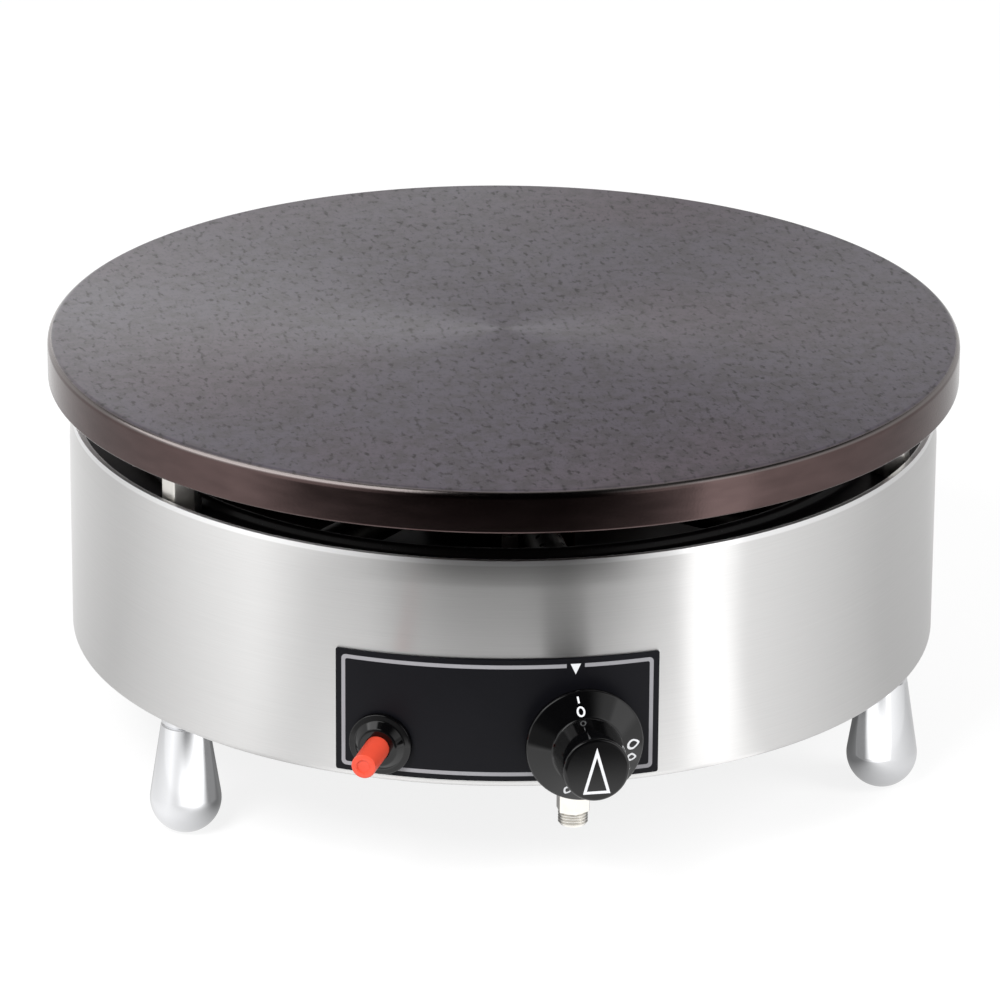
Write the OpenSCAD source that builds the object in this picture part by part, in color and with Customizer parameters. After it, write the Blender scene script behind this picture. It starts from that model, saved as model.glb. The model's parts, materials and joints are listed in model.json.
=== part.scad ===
// Round gas crepe maker: a cast griddle on three posts over a star burner in a drum.
// Millimetres, +Z up. The origin is on the drum's axis at the level the feet stand on.
// The gas tap looks along -Y, and azimuths run from -Y towards +X.

/* [Griddle] */
// Diameter of the cast griddle plate
plate_d = 400; // [390:1:440]
// Thickness of the plate inside its rim
plate_t = 14; // [9:0.5:17]
// Height of the plate's rim
rim_h = 18.5; // [18:0.5:30]
// Width of the plate's rim, seen from below
rim_w = 14; // [11:0.5:20]
// Radius of the rim's top edge
rim_edge_r = 3.4; // [1:0.2:6]
// Diameter of a cast lug under the rim
lug_d = 8; // [5:0.5:10]
// Drop of a cast lug below the rim
lug_drop = 2.6; // [1:0.2:5]
// Angle from a post to the lug beside it
lug_turn = -3.2; // [-6:0.2:-2.6]

/* [Drum] */
// Outside diameter of the drum
body_d = 382; // [370:1:398]
// Height of the drum
body_h = 102; // [98:1:130]
// Height of the flue gap between drum and griddle
flue_gap = 16; // [10:1:30]
// Thickness of the drum's sheet
shell_t = 1; // [0.8:0.1:1.5]
// Outside radius of the rolled top edge
hem_r = 2.2; // [2:0.1:2.5]
// Outside radius of the drum's lower corner
corner_r = 3; // [2:0.25:4]
// Width of the drum's bottom flange
flange_w = 31; // [29:1:40]

/* [Stand] */
// Height of a foot
foot_h = 53; // [45:1:75]
// Largest diameter of a foot
foot_bulb_d = 31; // [26:1:36]
// Diameter of a foot at its top
foot_neck_d = 20; // [16:1:22]
// Diameter of the flat that a foot stands on
foot_pad_d = 10; // [6:1:14]
// Distance of the columns from the drum's outside
column_inset = 13; // [12.5:0.25:14]
// Diameter of the tie rods
rod_d = 8; // [5:0.5:9]
// Depth of a tie rod in its foot
rod_in_foot = 22; // [10:1:30]
// Diameter of the spacer pillars
pillar_d = 13; // [11:0.5:14]
// Width across flats of a griddle post
post_af = 15; // [12:0.5:15.5]
// Diameter of the locating pin on a post
pin_d = 9; // [5:0.5:10]
// Height of the locating pin on a post
pin_h = 5; // [3:0.5:8]
// Diameter of the boss that seats on a post
boss_d = 24; // [18:1:26]

/* [Burner bowl] */
// Thickness of the bowl's sheet
bowl_t = 1.5; // [0.8:0.1:1.8]
// Drop of the bowl's deck below the drum's top
deck_drop = 8; // [6:0.5:12]
// Width of the deck that the posts stand on
deck_w = 19; // [18:0.5:24]
// Height of the bead inside the deck
bead_h = 3.5; // [2:0.25:5]
// Depth of the turned-down edge of the deck
lip_h = 6; // [3:0.5:9]
// Depth of the bowl below its deck
bowl_depth = 47; // [40:0.5:49]
// Diameter of the bowl's floor
bowl_floor_d = 292; // [284:2:304]
// Diameter of the bowl's throat
throat_d = 68; // [62:1:90]
// Height of the throat's turned-up edge
throat_lip_h = 6; // [3:0.5:9]

/* [Base pan] */
// Thickness of the base pan
pan_t = 1.5; // [0.8:0.1:2]
// Height of the pan's turned-up rim
pan_rim_h = 3; // [2:0.25:3.25]
// Diameter of an air hole
vent_d = 30; // [10:1:38]
// Number of air holes
vent_count = 10; // [4:1:14]
// Diameter of the circle of air holes
vent_circle_d = 210; // [180:2:220]

/* [Burner] */
// Number of burner arms
arm_count = 8; // [4:1:10]
// Outside diameter of a burner arm
arm_d = 16; // [12:0.5:18]
// Wall of a burner arm
arm_wall = 1.5; // [1:0.1:2.5]
// Radius at which the arms end
arm_reach = 136; // [115:1:140]
// Gap between the arms and the griddle
flame_gap = 39.5; // [36:0.5:44]
// Diameter of a flame port
port_d = 2.4; // [1.2:0.1:3.5]
// Ports in one row of an arm
port_count = 10; // [4:1:12]
// Angle of the port rows from the top
port_tilt = 35; // [20:1:60]
// Diameter of the burner hub
hub_d = 72; // [70:1:80]
// Diameter of the riser below the hub
stem_d = 54; // [50:1:58]
// Diameter of the chamber in the riser
chamber_d = 40; // [36:1:42]
// Diameter of the riser's foot flange
riser_flange_d = 88; // [84:1:120]
// Thickness of the riser's foot flange
riser_flange_t = 4; // [3:0.5:8]
// Thickness of the burner cap
cap_t = 4; // [3:0.5:6]
// Number of slots under the cap
crown_slots = 16; // [8:1:24]

/* [Mixer] */
// Azimuth of the mixing tube
mixer_az = 40; // [36:1:44]
// Diameter of the mixing tube at the riser
mixer_d = 22; // [16:0.5:24]
// Diameter of the mixing tube's neck
neck_d = 17; // [12:0.5:20]
// Diameter of the mixing tube's bell
bell_d = 32; // [24:1:34]
// Wall of the mixing tube
mixer_wall = 1.5; // [1:0.1:2]
// Radius at which the bell ends
bell_end = 136; // [130:1:140]
// Gap between the bell and the jet holder
air_gap = 13; // [11.5:0.5:16]
// Width of the jet holder
holder_w = 18; // [16:0.5:22]
// Diameter of the air shutter
shutter_d = 28; // [20:1:32]
// Diameter of the gas pipe
pipe_d = 8; // [6:0.5:9]

/* [Gas tap] */
// Height of the tap's axis above the drum's underside
tap_rise = 22; // [20:0.5:23]
// Diameter of the tap's body
tap_d = 26; // [22:0.5:28]
// Length of the tap's body
tap_len = 37; // [34:0.5:40]
// Diameter of the tap's collar
collar_d = 18; // [17:0.5:20]
// Bore of the tap for its plug
plug_d = 14; // [13:0.25:14.5]
// Diameter of the spindle
spindle_d = 8; // [6:0.25:8.5]
// Travel of the knob when it is pushed
push_travel = 4; // [2:0.5:4.5]
// Distance of the gas inlet from the drum's outside
inlet_inset = 17; // [15:0.5:18.5]
// Drop of the gas inlet below the drum
inlet_drop = 24; // [20:1:35]
// Width across flats of the gas inlet
inlet_af = 13; // [11:0.5:14]
// Diameter of the gas inlet's end
inlet_end_d = 12.7; // [9:0.1:13]
// Length of the gas inlet's round end
inlet_end_h = 6; // [5:0.5:12]
// Bore of the gas inlet
inlet_bore_d = 6.4; // [4:0.2:7]

/* [Knob] */
// Diameter of the knob's skirt
skirt_d = 50; // [47:0.5:58]
// Gap between the panel and the knob
knob_gap = 5.2; // [5:0.1:8]
// Height of the knob
knob_h = 29; // [26:0.5:36]
// Diameter of the grip at the skirt
grip_d = 29.5; // [28.5:0.5:36]
// Diameter of the grip's front
grip_front_d = 28; // [24:0.5:31]

/* [Igniter] */
// Azimuth of the igniter
igniter_az = -25.3; // [-27:0.1:-22]
// Height of the igniter's axis above the drum's underside
igniter_rise = 18; // [17:0.5:24]
// Diameter of the igniter's bezel
bezel_d = 27; // [23:0.5:28]
// Height of the igniter's bezel
bezel_h = 6.4; // [4:0.2:9]
// Diameter of the igniter's barrel
barrel_d = 18; // [17:0.5:20]
// Length of the igniter's spring when it is pressed home
spring_home = 31; // [26:1:34]
// Diameter of the igniter's button
button_d = 10.5; // [8:0.25:11]
// Length of the button that stands out of the bezel
button_out = 20.5; // [12:0.5:26]
// Travel of the igniter's button
button_travel = 7; // [3:0.5:9]

/* [Control panel] */
// Azimuth of the panel's middle
panel_az = -10.7; // [-12:0.1:-10]
// Width of the panel across its chord
panel_w = 135; // [130:1:145]
// Height of the panel
panel_h = 55; // [48:1:70]
// Height of the panel's lower edge above the drum's underside
panel_rise = 3.5; // [3:0.25:3.75]
// Thickness of the panel
panel_t = 0.8; // [0.4:0.1:1.2]
// Radius of the panel's corners
panel_corner_r = 1; // [1:0.25:6]

/* [Hidden] */
$fn = 96;
// Clearances: a screwed or pushed fit, a running fit, a loose hole and a loose socket
fit_gap = 0.04;
run_gap = 0.06;
hole_gap = 0.3;
socket_gap = 0.35;
// A length by which every cut passes the face that it opens
past = 1;
// Points along a small edge, the rolled hem, a foot's bulb, a bend and a coil's turn
edge_steps = 8;
hem_steps = 14;
bulb_steps = 18;
bend_steps = 5;
turn_steps = 12;
// Sides of a pipe, of a lead and of a spring's wire
pipe_sides = 12;
lead_sides = 8;
wire_sides = 6;

// Levels of the stack, from the floor up
drum_z = foot_h;
pan_z = drum_z + shell_t;
pan_top = pan_z + pan_t;
drum_top = drum_z + body_h;
deck_z = drum_top - deck_drop;
bowl_z = deck_z - bowl_depth;
rim_z = drum_top + flue_gap;
plate_z = rim_z + rim_h - plate_t;
plate_top = rim_z + rim_h;
arm_z = plate_z - flame_gap - arm_d / 2;
tap_z = drum_z + tap_rise;
igniter_z = drum_z + igniter_rise;

// Radii of the drum and of what stands in it
plate_r = plate_d / 2;
lug_draft = 2.4;
body_r = body_d / 2;
shell_in = body_r - shell_t;
flange_in = body_r - flange_w;
hem_turn = 215;
deck_r = body_r - 2 * hem_r - socket_gap;
deck_in = deck_r - deck_w;
pan_r = deck_r;
column_r = body_r - column_inset;
rod_r = rod_d / 2;
rod_top = rim_z - (rim_z - deck_z) / 3;
thread_room = 1;
column_az = [-60, 60, 180];
column_names = ["left", "right", "rear"];

// Panel and pieces that look out of the drum, as distances from its axis
panel_in = body_r + fit_gap;
panel_out = panel_in + panel_t;
seat_out = panel_out + fit_gap;
knob_back = panel_out + knob_gap;
knob_front = knob_back + knob_h;

// Riser, hub and arms
hub_r = hub_d / 2;
stem_r = stem_d / 2;
chamber_r = chamber_d / 2;
arm_r = arm_d / 2;
arm_from_chamber = 3;
arm_start = chamber_r + arm_from_chamber;
hub_under_arm = 5;
hub_over_arm = 6;
hub_low = arm_z - arm_r - hub_under_arm;
hub_top = arm_z + arm_r + hub_over_arm;
hub_flare = 8;
chamber_floor = 2;
riser_fillet = 3;
port_facets = 24;
crown_slot_w = 2;
crown_slot_h = 3;
riser_screw_d = 5;
riser_screw_af = 8;
riser_screw_head = 3;
riser_screw_az = [90, 210, 330];
riser_screw_circle = (stem_r + riser_flange_d / 2) / 2;
port_from_hub = 8;
port_from_end = 6;
port_start = hub_r + port_from_hub;
port_step = (arm_reach - port_from_end - port_start) / (port_count - 1);

// Mixing tube, jet and its holder
mixer_r = mixer_d / 2;
mixer_from_chamber = 2;
mixer_run = 6;
neck_run = 6;
bell_lip_w = 2;
bell_lip_h = 6;
neck_from_bell = 32;
neck_at = bell_end - neck_from_bell;
jet_r = 5;
jet_tip_r = 3;
jet_bore_r = 0.8;
jet_tip_h = 3;
jet_from_bell = 2;
jet_thread_h = 6;
jet_feed_r = 2.5;
jet_feed_h = 4;
holder_wall = 5.4;
holder_in = bell_end + air_gap;
shutter_t = 2;
shutter_hub_w = 3;
shutter_at = bell_end + air_gap / 2;
pipe_r = pipe_d / 2;
pipe_wall = 1;
outlet_inset = 28;
outlet_reach = 9;
outlet_rim = 4;
pipe_y = body_r - outlet_inset;

// Gas tap
tap_r = tap_d / 2;
outlet_end = tap_r + outlet_reach;
tap_front = sqrt(pow(shell_in, 2) - pow(tap_r, 2)) - fit_gap;
tap_back = tap_front - tap_len;
collar_r = collar_d / 2;
collar_end = knob_back;
nut_rim = 3;
nut_af = collar_d + 2 * nut_rim;
nut_h = 3.5;
plug_r = plug_d / 2;
plug_len = 17;
tap_floor = 2;
plug_floor = 3;
plug_back = tap_back + plug_floor;
plug_front = plug_back + plug_len;
collar_lip = 4;
washer_t = 1.5;
washer_out = collar_end - collar_lip - fit_gap;
spindle_r = spindle_d / 2;
tang_w = 2.4;
tang_h = 6;
tang_floor = 3;
tang_back = plug_back + tang_floor + push_travel;
spindle_flat = 1.2;
knob_face_t = 5;
spindle_end = knob_front - knob_face_t;
spring_gap = 0.3;
wire_r = 0.6;
tap_spring_turns = 5;
inlet_r = body_r - inlet_inset;
inlet_boss_h = 4;
inlet_top = tap_z - tap_r - inlet_boss_h;
inlet_end = drum_z - inlet_drop;
inlet_thread_d = 9.9;
inlet_thread_h = 7;
inlet_boss_d = 17;
inlet_hole_d = 18;
magnet_d = 18;
magnet_len = 24;
magnet_hex_af = 19;
magnet_hex_h = 6;
lead_nut_af = 9;
lead_nut_h = 7;
magnet_back = tap_back - magnet_len;

// Knob
skirt_r = skirt_d / 2;
skirt_edge_h = 2.2;
skirt_chamfer = 0.8;
skirt_wall = 2.4;
cone_h = 8.5;
grip_r = grip_d / 2;
grip_front_r = grip_front_d / 2;
grip_edge_r = 1.6;
grip_fillet_w = 1.5;
grip_fillet_h = 2.5;
hollow_draft = 1;
hollow_gap = 1.4;
knob_hollow_h = push_travel + hollow_gap;

// Igniter
bezel_r = bezel_d / 2;
bezel_end = seat_out + bezel_h;
bezel_edge_h = 2.6;
bezel_step_w = 2.5;
bezel_step_h = 0.3;
mouth_rim = 3;
barrel_r = barrel_d / 2;
barrel_wall = 2;
barrel_floor = 3;
barrel_hole_r = barrel_r - barrel_wall;
igniter_nut_af = barrel_d + 2 * nut_rim;
igniter_nut_h = 4.5;
igniter_nut_front = sqrt(pow(shell_in, 2) - pow(igniter_nut_af / sqrt(3), 2)) - fit_gap;
button_r = button_d / 2;
button_head_h = 4;
stop_depth = 4;
button_stop = seat_out - stop_depth;
barrel_back = button_stop - button_head_h - button_travel - spring_home - barrel_floor;
button_tip = bezel_end + button_out;
button_dish_r = 3;
button_dish_h = 0.8;
button_dish_draft = 0.4;
button_edge = 0.8;
igniter_spring_turns = 8;
igniter_spring_gap = 1.5;
terminal_r = 2.5;
terminal_h = 4;

// Spark electrode and thermocouple, each beside the arm at azimuth 0
probe_r = 91;
probe_gap = 5;
probe_side = arm_r + probe_gap;
electrode_xy = [-probe_side, -probe_r];
thermo_xy = [probe_side, -probe_r];
insulator_r = 3.5;
insulator_drop = 14;
insulator_low = bowl_z - insulator_drop;
insulator_top = arm_z;
insulator_collar_r = 5.5;
insulator_collar_h = 3;
electrode_wire_r = 1;
electrode_tail = 6;
electrode_over_arm = 4;
electrode_low = insulator_low - electrode_tail;
electrode_top = arm_z + arm_r + electrode_over_arm;
electrode_tip = 6;
thermo_r = 2.5;
thermo_drop = 8;
thermo_over_arm = 2;
thermo_low = bowl_z - thermo_drop;
thermo_top = arm_z + arm_r + thermo_over_arm;
thermo_collar_r = 5;
thermo_collar_h = 4;
lead_r = 2.5;
capillary_r = 1.3;

// Inner ends of the two leads, where they meet their terminals
lead_start = [barrel_back * sin(igniter_az), -barrel_back * cos(igniter_az), igniter_z];
lead_inward = [-sin(igniter_az), cos(igniter_az), 0];
lead_end = [electrode_xy.x, electrode_xy.y, electrode_low];
capillary_start = [0, -(magnet_back - lead_nut_h), tap_z];
capillary_end = [thermo_xy.x, thermo_xy.y, thermo_low];
// Routes of the ignition lead, the capillary and the gas pipe
lead_stub = 8;
lead_sweep = 27;
lead_swing = 7;
lead_sag = 14;
lead_near = 11;
lead_dip = 16;
capillary_stub = 6;
capillary_rise = [[3, 14, 1], [9, 23, 4]];
lead_route = [
    lead_start + lead_inward * terminal_h,
    lead_start + lead_inward * (terminal_h + lead_stub),
    lead_end - [lead_sweep, lead_swing, lead_sag],
    lead_end - [lead_near, 0, lead_dip],
    lead_end - [0, 0, lead_stub],
    lead_end
];
capillary_route = [
    capillary_start,
    capillary_start + [0, capillary_stub, 0],
    capillary_start + capillary_rise[0],
    capillary_start + capillary_rise[1],
    capillary_end - [0, 0, capillary_stub],
    capillary_end
];
holder_axis = [sin(mixer_az), -cos(mixer_az), 0];
holder_side = [-cos(mixer_az), -sin(mixer_az), 0];
holder_mid = holder_axis * (holder_in + holder_w / 2) + [0, 0, tap_z];
pipe_end = holder_mid + holder_side * holder_w / 2;
pipe_start = [outlet_end, -pipe_y, tap_z];
pipe_stub = 4;
pipe_reach = norm(pipe_end - pipe_start) / 2;
pipe_bend = [
    pipe_start + [pipe_stub, 0, 0],
    pipe_start + [pipe_stub + pipe_reach, 0, 0],
    pipe_end + holder_side * (pipe_stub + pipe_reach),
    pipe_end + holder_side * pipe_stub
];
pipe_steps = 12;

// Points of an arc round c
function arc(c, r, from, to, steps) =
    [for (i = [0:steps]) let (a = from + (to - from) * i / steps) c + r * [cos(a), sin(a)]];

// Unit vector of v
function unit(v) = v / norm(v);

// Left-hand normal of the stretch from a to b
function left_of(a, b) = let (d = unit(b - a)) [-d.y, d.x];

// Point i of a bent line, moved by t to the left
function moved(line, i, t) =
    let (last = len(line) - 1)
    let (before = left_of(line[max(i - 1, 0)], line[max(i, 1)]))
    let (after = left_of(line[min(i, last - 1)], line[min(i + 1, last)]))
    let (both = before + after)
    line[i] + both * 2 * t / (both * both);

// Closed outline of a sheet of thickness t to the left of a bent line
function sheet(line, t) =
    concat(line, [for (i = [len(line) - 1:-1:0]) moved(line, i, t)]);

// Point at t of the curve between points b and c, with a and d beside them
function curve_point(a, b, c, d, t) =
    0.5 * (2 * b + (c - a) * t + (2 * a - 5 * b + 4 * c - d) * t * t
        + (3 * b - a - 3 * c + d) * t * t * t);

// Smooth curve through a route's points, with its first and last stretch straight
function smooth(route, steps) =
    let (last = len(route) - 1)
    concat(
        [route[0]],
        [for (i = [1:last - 2]) for (s = [0:steps - 1]) curve_point(
            route[i - 1], route[i], route[i + 1], route[i + 2], s / steps)],
        [route[last - 1], route[last]]);

// Point at t of a bend that leaves a towards b and comes to d from c
function bend_point(p, t) =
    pow(1 - t, 3) * p[0] + 3 * t * pow(1 - t, 2) * p[1] + 3 * t * t * (1 - t) * p[2] + pow(t, 3) * p[3];

// Direction of a path at point i
function along(path, i) =
    unit(path[min(i + 1, len(path) - 1)] - path[max(i - 1, 0)]);

// Side vectors carried along a path without twist
function carried(path, side, i = 0) =
    let (t = along(path, i))
    let (s = unit(side - (side * t) * t))
    i == len(path) - 1 ? [s] : concat([s], carried(path, s, i + 1));

// Points of a coil along Z
function coil(r, height, turns, steps) =
    [for (i = [0:turns * steps]) [
        r * cos(360 * i / steps), r * sin(360 * i / steps), height * i / (turns * steps)]];

// Round tube of radius r along a path, as one closed skin
module tube_along(path, r, sides, side = [0, 0, 1]) {
    count = len(path);
    frames = carried(path, side);
    rings = [for (i = [0:count - 1]) for (k = [0:sides - 1])
        let (a = 360 * k / sides)
        path[i] + r * (cos(a) * frames[i] + sin(a) * cross(along(path, i), frames[i]))];
    walls = [for (i = [0:count - 2]) for (k = [0:sides - 1])
        let (n = (k + 1) % sides)
        let (p = i * sides)
        let (q = p + sides)
        for (f = [[p + k, q + k, q + n], [p + k, q + n, p + n]]) f];
    low = [[for (k = [0:sides - 1]) k]];
    high = [[for (k = [sides - 1:-1:0]) (count - 1) * sides + k]];
    polyhedron(rings, concat(walls, low, high));
}

// Turns what is built at the front to an azimuth
module at_azimuth(a) rotate([0, 0, a]) children();

// Puts what is built along Z on a level line from the drum's axis
module outwards(z, a = 0) translate([0, 0, z]) rotate([0, 0, a]) rotate([90, 0, 0]) children();

// Puts what is built on the Z axis on column i
module on_column(i) at_azimuth(column_az[i]) translate([0, -column_r, 0]) children();

// Cylinder between two levels
module rod(r, low, high) translate([0, 0, low]) cylinder(r = r, h = high - low);

// Hexagonal bar between two levels, with corners on X
module hex_rod(af, low, high) translate([0, 0, low]) cylinder(r = af / sqrt(3), h = high - low, $fn = 6);

// Shaft with a flat from level flat_from up
module d_shaft(r, low, flat_from, high) {
    difference() {
        rod(r, low, high);
        translate([-r, r - spindle_flat, flat_from]) cube([2 * r, 2 * r, high - flat_from + past]);
    }
}

module griddle_plate() {
    rim_in = plate_r - rim_w;
    rim_foot = 1;
    rim_draft = 2;
    pin_room = 1;
    lug_tip_d = lug_d - lug_draft;
    edge = arc([plate_r - rim_edge_r, plate_top - rim_edge_r], rim_edge_r, 0, 90, edge_steps);
    outline = concat(
        [[0, plate_z], [rim_in - rim_draft, plate_z], [rim_in, rim_z]],
        [[plate_r - rim_foot, rim_z], [plate_r, rim_z + rim_foot]],
        edge,
        [[0, plate_top]]);
    color([0.36, 0.35, 0.37]) {
        difference() {
            union() {
                rotate_extrude() polygon(outline);
                for (i = [0:2]) on_column(i) rod(boss_d / 2, rim_z, plate_z + past);
            }
            for (i = [0:2]) on_column(i) rod(pin_d / 2 + socket_gap, rim_z - past, rim_z + pin_h + pin_room);
        }
        for (a = column_az) at_azimuth(a + lug_turn)
            translate([0, -(plate_r - rim_w / 2), rim_z - lug_drop])
                cylinder(d1 = lug_tip_d, d2 = lug_d, h = lug_drop + past);
    }
}

module body_shell() {
    corner = arc([body_r - corner_r, drum_z + corner_r], corner_r, -90, 0, edge_steps);
    hem = arc([body_r - hem_r, drum_top - hem_r], hem_r, 0, hem_turn, hem_steps);
    line = concat([[flange_in, drum_z]], corner, hem);
    color([0.78, 0.78, 0.77]) difference() {
        rotate_extrude($fn = 180) polygon(sheet(line, shell_t));
        for (i = [0:2]) on_column(i) rod(rod_r + hole_gap, drum_z - past, pan_z + past);
        translate([0, -inlet_r, 0]) rod(inlet_hole_d / 2, drum_z - past, pan_z + past);
        outwards(tap_z) rod(collar_r + hole_gap, tap_front - past, body_r + past);
        outwards(igniter_z, igniter_az) rod(barrel_r + hole_gap, tap_front - past, body_r + past);
    }
}

module base_pan() {
    color([0.68, 0.69, 0.70]) difference() {
        union() {
            rod(pan_r, pan_z, pan_top);
            difference() {
                rod(pan_r, pan_z, pan_top + pan_rim_h);
                rod(pan_r - pan_t, pan_z - past, pan_top + pan_rim_h + past);
            }
        }
        for (i = [0:2]) on_column(i) rod(rod_r + hole_gap, pan_z - past, pan_top + past);
        for (i = [0:vent_count - 1]) at_azimuth(360 * (i + 0.5) / vent_count)
            translate([0, -vent_circle_d / 2, 0]) rod(vent_d / 2, pan_z - past, pan_top + past);
        translate([0, -inlet_r, 0]) rod(inlet_hole_d / 2, pan_z - past, pan_top + past);
        riser_screw_places() rod(riser_screw_d / 2 + hole_gap, pan_z - past, pan_top + past);
    }
}

// Pressed pan with a deck for the posts, a bead, a sloping wall and a throat for air
module burner_bowl() {
    bead_w = 2 * bowl_t;
    line = [
        [deck_r, deck_z - lip_h],
        [deck_r, deck_z],
        [deck_in, deck_z],
        [deck_in - bead_h / 2, deck_z + bead_h],
        [deck_in - bead_h / 2 - bead_w, deck_z + bead_h],
        [bowl_floor_d / 2, bowl_z],
        [throat_d / 2, bowl_z],
        [throat_d / 2, bowl_z + throat_lip_h]
    ];
    color([0.09, 0.09, 0.10]) difference() {
        rotate_extrude($fn = 180) polygon(sheet(line, bowl_t));
        for (i = [0:2]) on_column(i) rod(rod_r + hole_gap, deck_z - bowl_t - past, deck_z + past);
        translate(electrode_xy) rod(insulator_r + hole_gap, bowl_z - bowl_t - past, bowl_z + past);
        translate(thermo_xy) rod(thermo_r + hole_gap, bowl_z - bowl_t - past, bowl_z + past);
    }
}

// Outline of the control panel, centred
module panel_outline() {
    for (x = [-1, 1]) for (y = [-1, 1])
        translate([x * (panel_w / 2 - panel_corner_r), y * (panel_h / 2 - panel_corner_r)])
            circle(r = panel_corner_r);
    square([panel_w, panel_h - 2 * panel_corner_r], center = true);
    square([panel_w - 2 * panel_corner_r, panel_h], center = true);
}

module control_panel() {
    low = drum_z + panel_rise;
    mid = low + panel_h / 2;
    depth = body_r / 2;
    color([0.10, 0.10, 0.12]) difference() {
        intersection() {
            difference() {
                rod(panel_out, low - past, low + panel_h + past);
                rod(panel_in, low - 2 * past, low + panel_h + 2 * past);
            }
            outwards(mid, panel_az) translate([0, 0, depth]) linear_extrude(body_r) panel_outline();
        }
        outwards(tap_z) rod(collar_r + hole_gap, depth, panel_out + past);
        outwards(igniter_z, igniter_az) rod(barrel_r + hole_gap, depth, panel_out + past);
    }
}

// Drop-shaped foot: a bulb that runs off straight to its neck
module foot(i) {
    bulb_r = foot_bulb_d / 2;
    pad_r = foot_pad_d / 2;
    neck_r = foot_neck_d / 2;
    mid = sqrt(bulb_r * bulb_r - pad_r * pad_r);
    reach = norm([neck_r, foot_h - mid]);
    leaves = atan2(foot_h - mid, neck_r) - acos(bulb_r / reach);
    bulb = arc([0, mid], bulb_r, -asin(mid / bulb_r), leaves, bulb_steps);
    color([0.83, 0.84, 0.86]) on_column(i) difference() {
        rotate_extrude() polygon(concat([[0, 0]], bulb, [[neck_r, foot_h], [0, foot_h]]));
        rod(rod_r + fit_gap, foot_h - rod_in_foot - thread_room, foot_h + past);
    }
}

module tie_rod(i) {
    color([0.70, 0.70, 0.72]) on_column(i)
        rod(rod_r, foot_h - rod_in_foot, rod_top);
}

module pillar(i) {
    color([0.66, 0.67, 0.69]) on_column(i) difference() {
        rod(pillar_d / 2, pan_top, deck_z - bowl_t);
        rod(rod_r + hole_gap, pan_top - past, deck_z);
    }
}

// Hexagonal post screwed on a tie rod, with a shoulder and a pin for the griddle
module post(i) {
    pin_r = pin_d / 2;
    pin_edge = 1;
    color([0.80, 0.79, 0.76]) on_column(i) difference() {
        union() {
            hex_rod(post_af, deck_z, rim_z);
            rod(pin_r, rim_z, rim_z + pin_h - pin_edge);
            translate([0, 0, rim_z + pin_h - pin_edge])
                cylinder(r1 = pin_r, r2 = pin_r - pin_edge, h = pin_edge);
        }
        rod(rod_r + fit_gap, deck_z - past, rod_top + thread_room);
    }
}

// Places of the screws that hold the riser
module riser_screw_places() {
    for (a = riser_screw_az) at_azimuth(a) translate([0, -riser_screw_circle, 0]) children();
}

// Cast riser: foot flange, stem, hub with sockets for the arms and a slotted crown
module burner_riser() {
    flange_top = pan_top + riser_flange_t;
    outline = [
        [0, pan_top], [riser_flange_d / 2, pan_top], [riser_flange_d / 2, flange_top],
        [stem_r + riser_fillet, flange_top], [stem_r, flange_top + riser_fillet],
        [stem_r, hub_low - hub_flare], [hub_r, hub_low], [hub_r, hub_top], [0, hub_top]
    ];
    color([0.33, 0.33, 0.35]) difference() {
        rotate_extrude() polygon(outline);
        rod(chamber_r, flange_top + chamber_floor, hub_top + past);
        for (i = [1:arm_count]) outwards(arm_z, 360 * (i - 1) / arm_count)
            rod(arm_r + fit_gap, 0, hub_r + past);
        outwards(tap_z, mixer_az) rod(mixer_r + fit_gap, 0, stem_r + past);
        for (i = [1:crown_slots]) at_azimuth(360 * (i - 0.5) / crown_slots)
            translate([-crown_slot_w / 2, -hub_r - past, hub_top - crown_slot_h])
                cube([crown_slot_w, hub_r - chamber_r + 2 * past, crown_slot_h + past]);
        riser_screw_places() rod(riser_screw_d / 2 + hole_gap, pan_top - past, flange_top + past);
    }
}

module burner_cap() {
    plug = chamber_r - hole_gap;
    edge_h = 2;
    slope_w = 6;
    crown_h = 1;
    outline = [
        [0, hub_top - cap_t], [plug, hub_top - cap_t], [plug, hub_top], [hub_r, hub_top],
        [hub_r, hub_top + edge_h], [hub_r - slope_w, hub_top + cap_t], [0, hub_top + cap_t + crown_h]
    ];
    color([0.30, 0.30, 0.32]) rotate_extrude() polygon(outline);
}

module burner_screws() {
    flange_top = pan_top + riser_flange_t;
    nut_low = pan_z - riser_screw_head;
    color([0.75, 0.75, 0.77]) riser_screw_places() {
        rod(riser_screw_d / 2, nut_low, flange_top);
        hex_rod(riser_screw_af, flange_top, flange_top + riser_screw_head);
        hex_rod(riser_screw_af, nut_low, pan_z);
    }
}

// Drawn tube with a closed end and two rows of drilled flame ports
module burner_arm(i) {
    color([0.62, 0.62, 0.64]) outwards(arm_z, 360 * (i - 1) / arm_count) difference() {
        rod(arm_r, arm_start, arm_reach);
        rod(arm_r - arm_wall, arm_start - past, arm_reach - arm_wall);
        for (side = [-1, 1]) for (k = [0:port_count - 1])
            translate([0, 0, port_start + k * port_step]) rotate([-90, 0, side * port_tilt])
                cylinder(d = port_d, h = arm_r + past, $fn = port_facets);
    }
}

// Mixing tube: a bell, a neck and a widening run into the riser
module mixing_tube() {
    neck_r = neck_d / 2;
    bell_r = bell_d / 2;
    inner_end = chamber_r + mixer_from_chamber;
    line = [
        [mixer_r, inner_end], [mixer_r, stem_r + mixer_run], [neck_r, neck_at - neck_run],
        [neck_r, neck_at + neck_run], [bell_r - bell_lip_w, bell_end - bell_lip_h], [bell_r, bell_end]
    ];
    color([0.60, 0.60, 0.62]) outwards(tap_z, mixer_az)
        rotate_extrude() polygon(sheet(line, mixer_wall));
}

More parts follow.
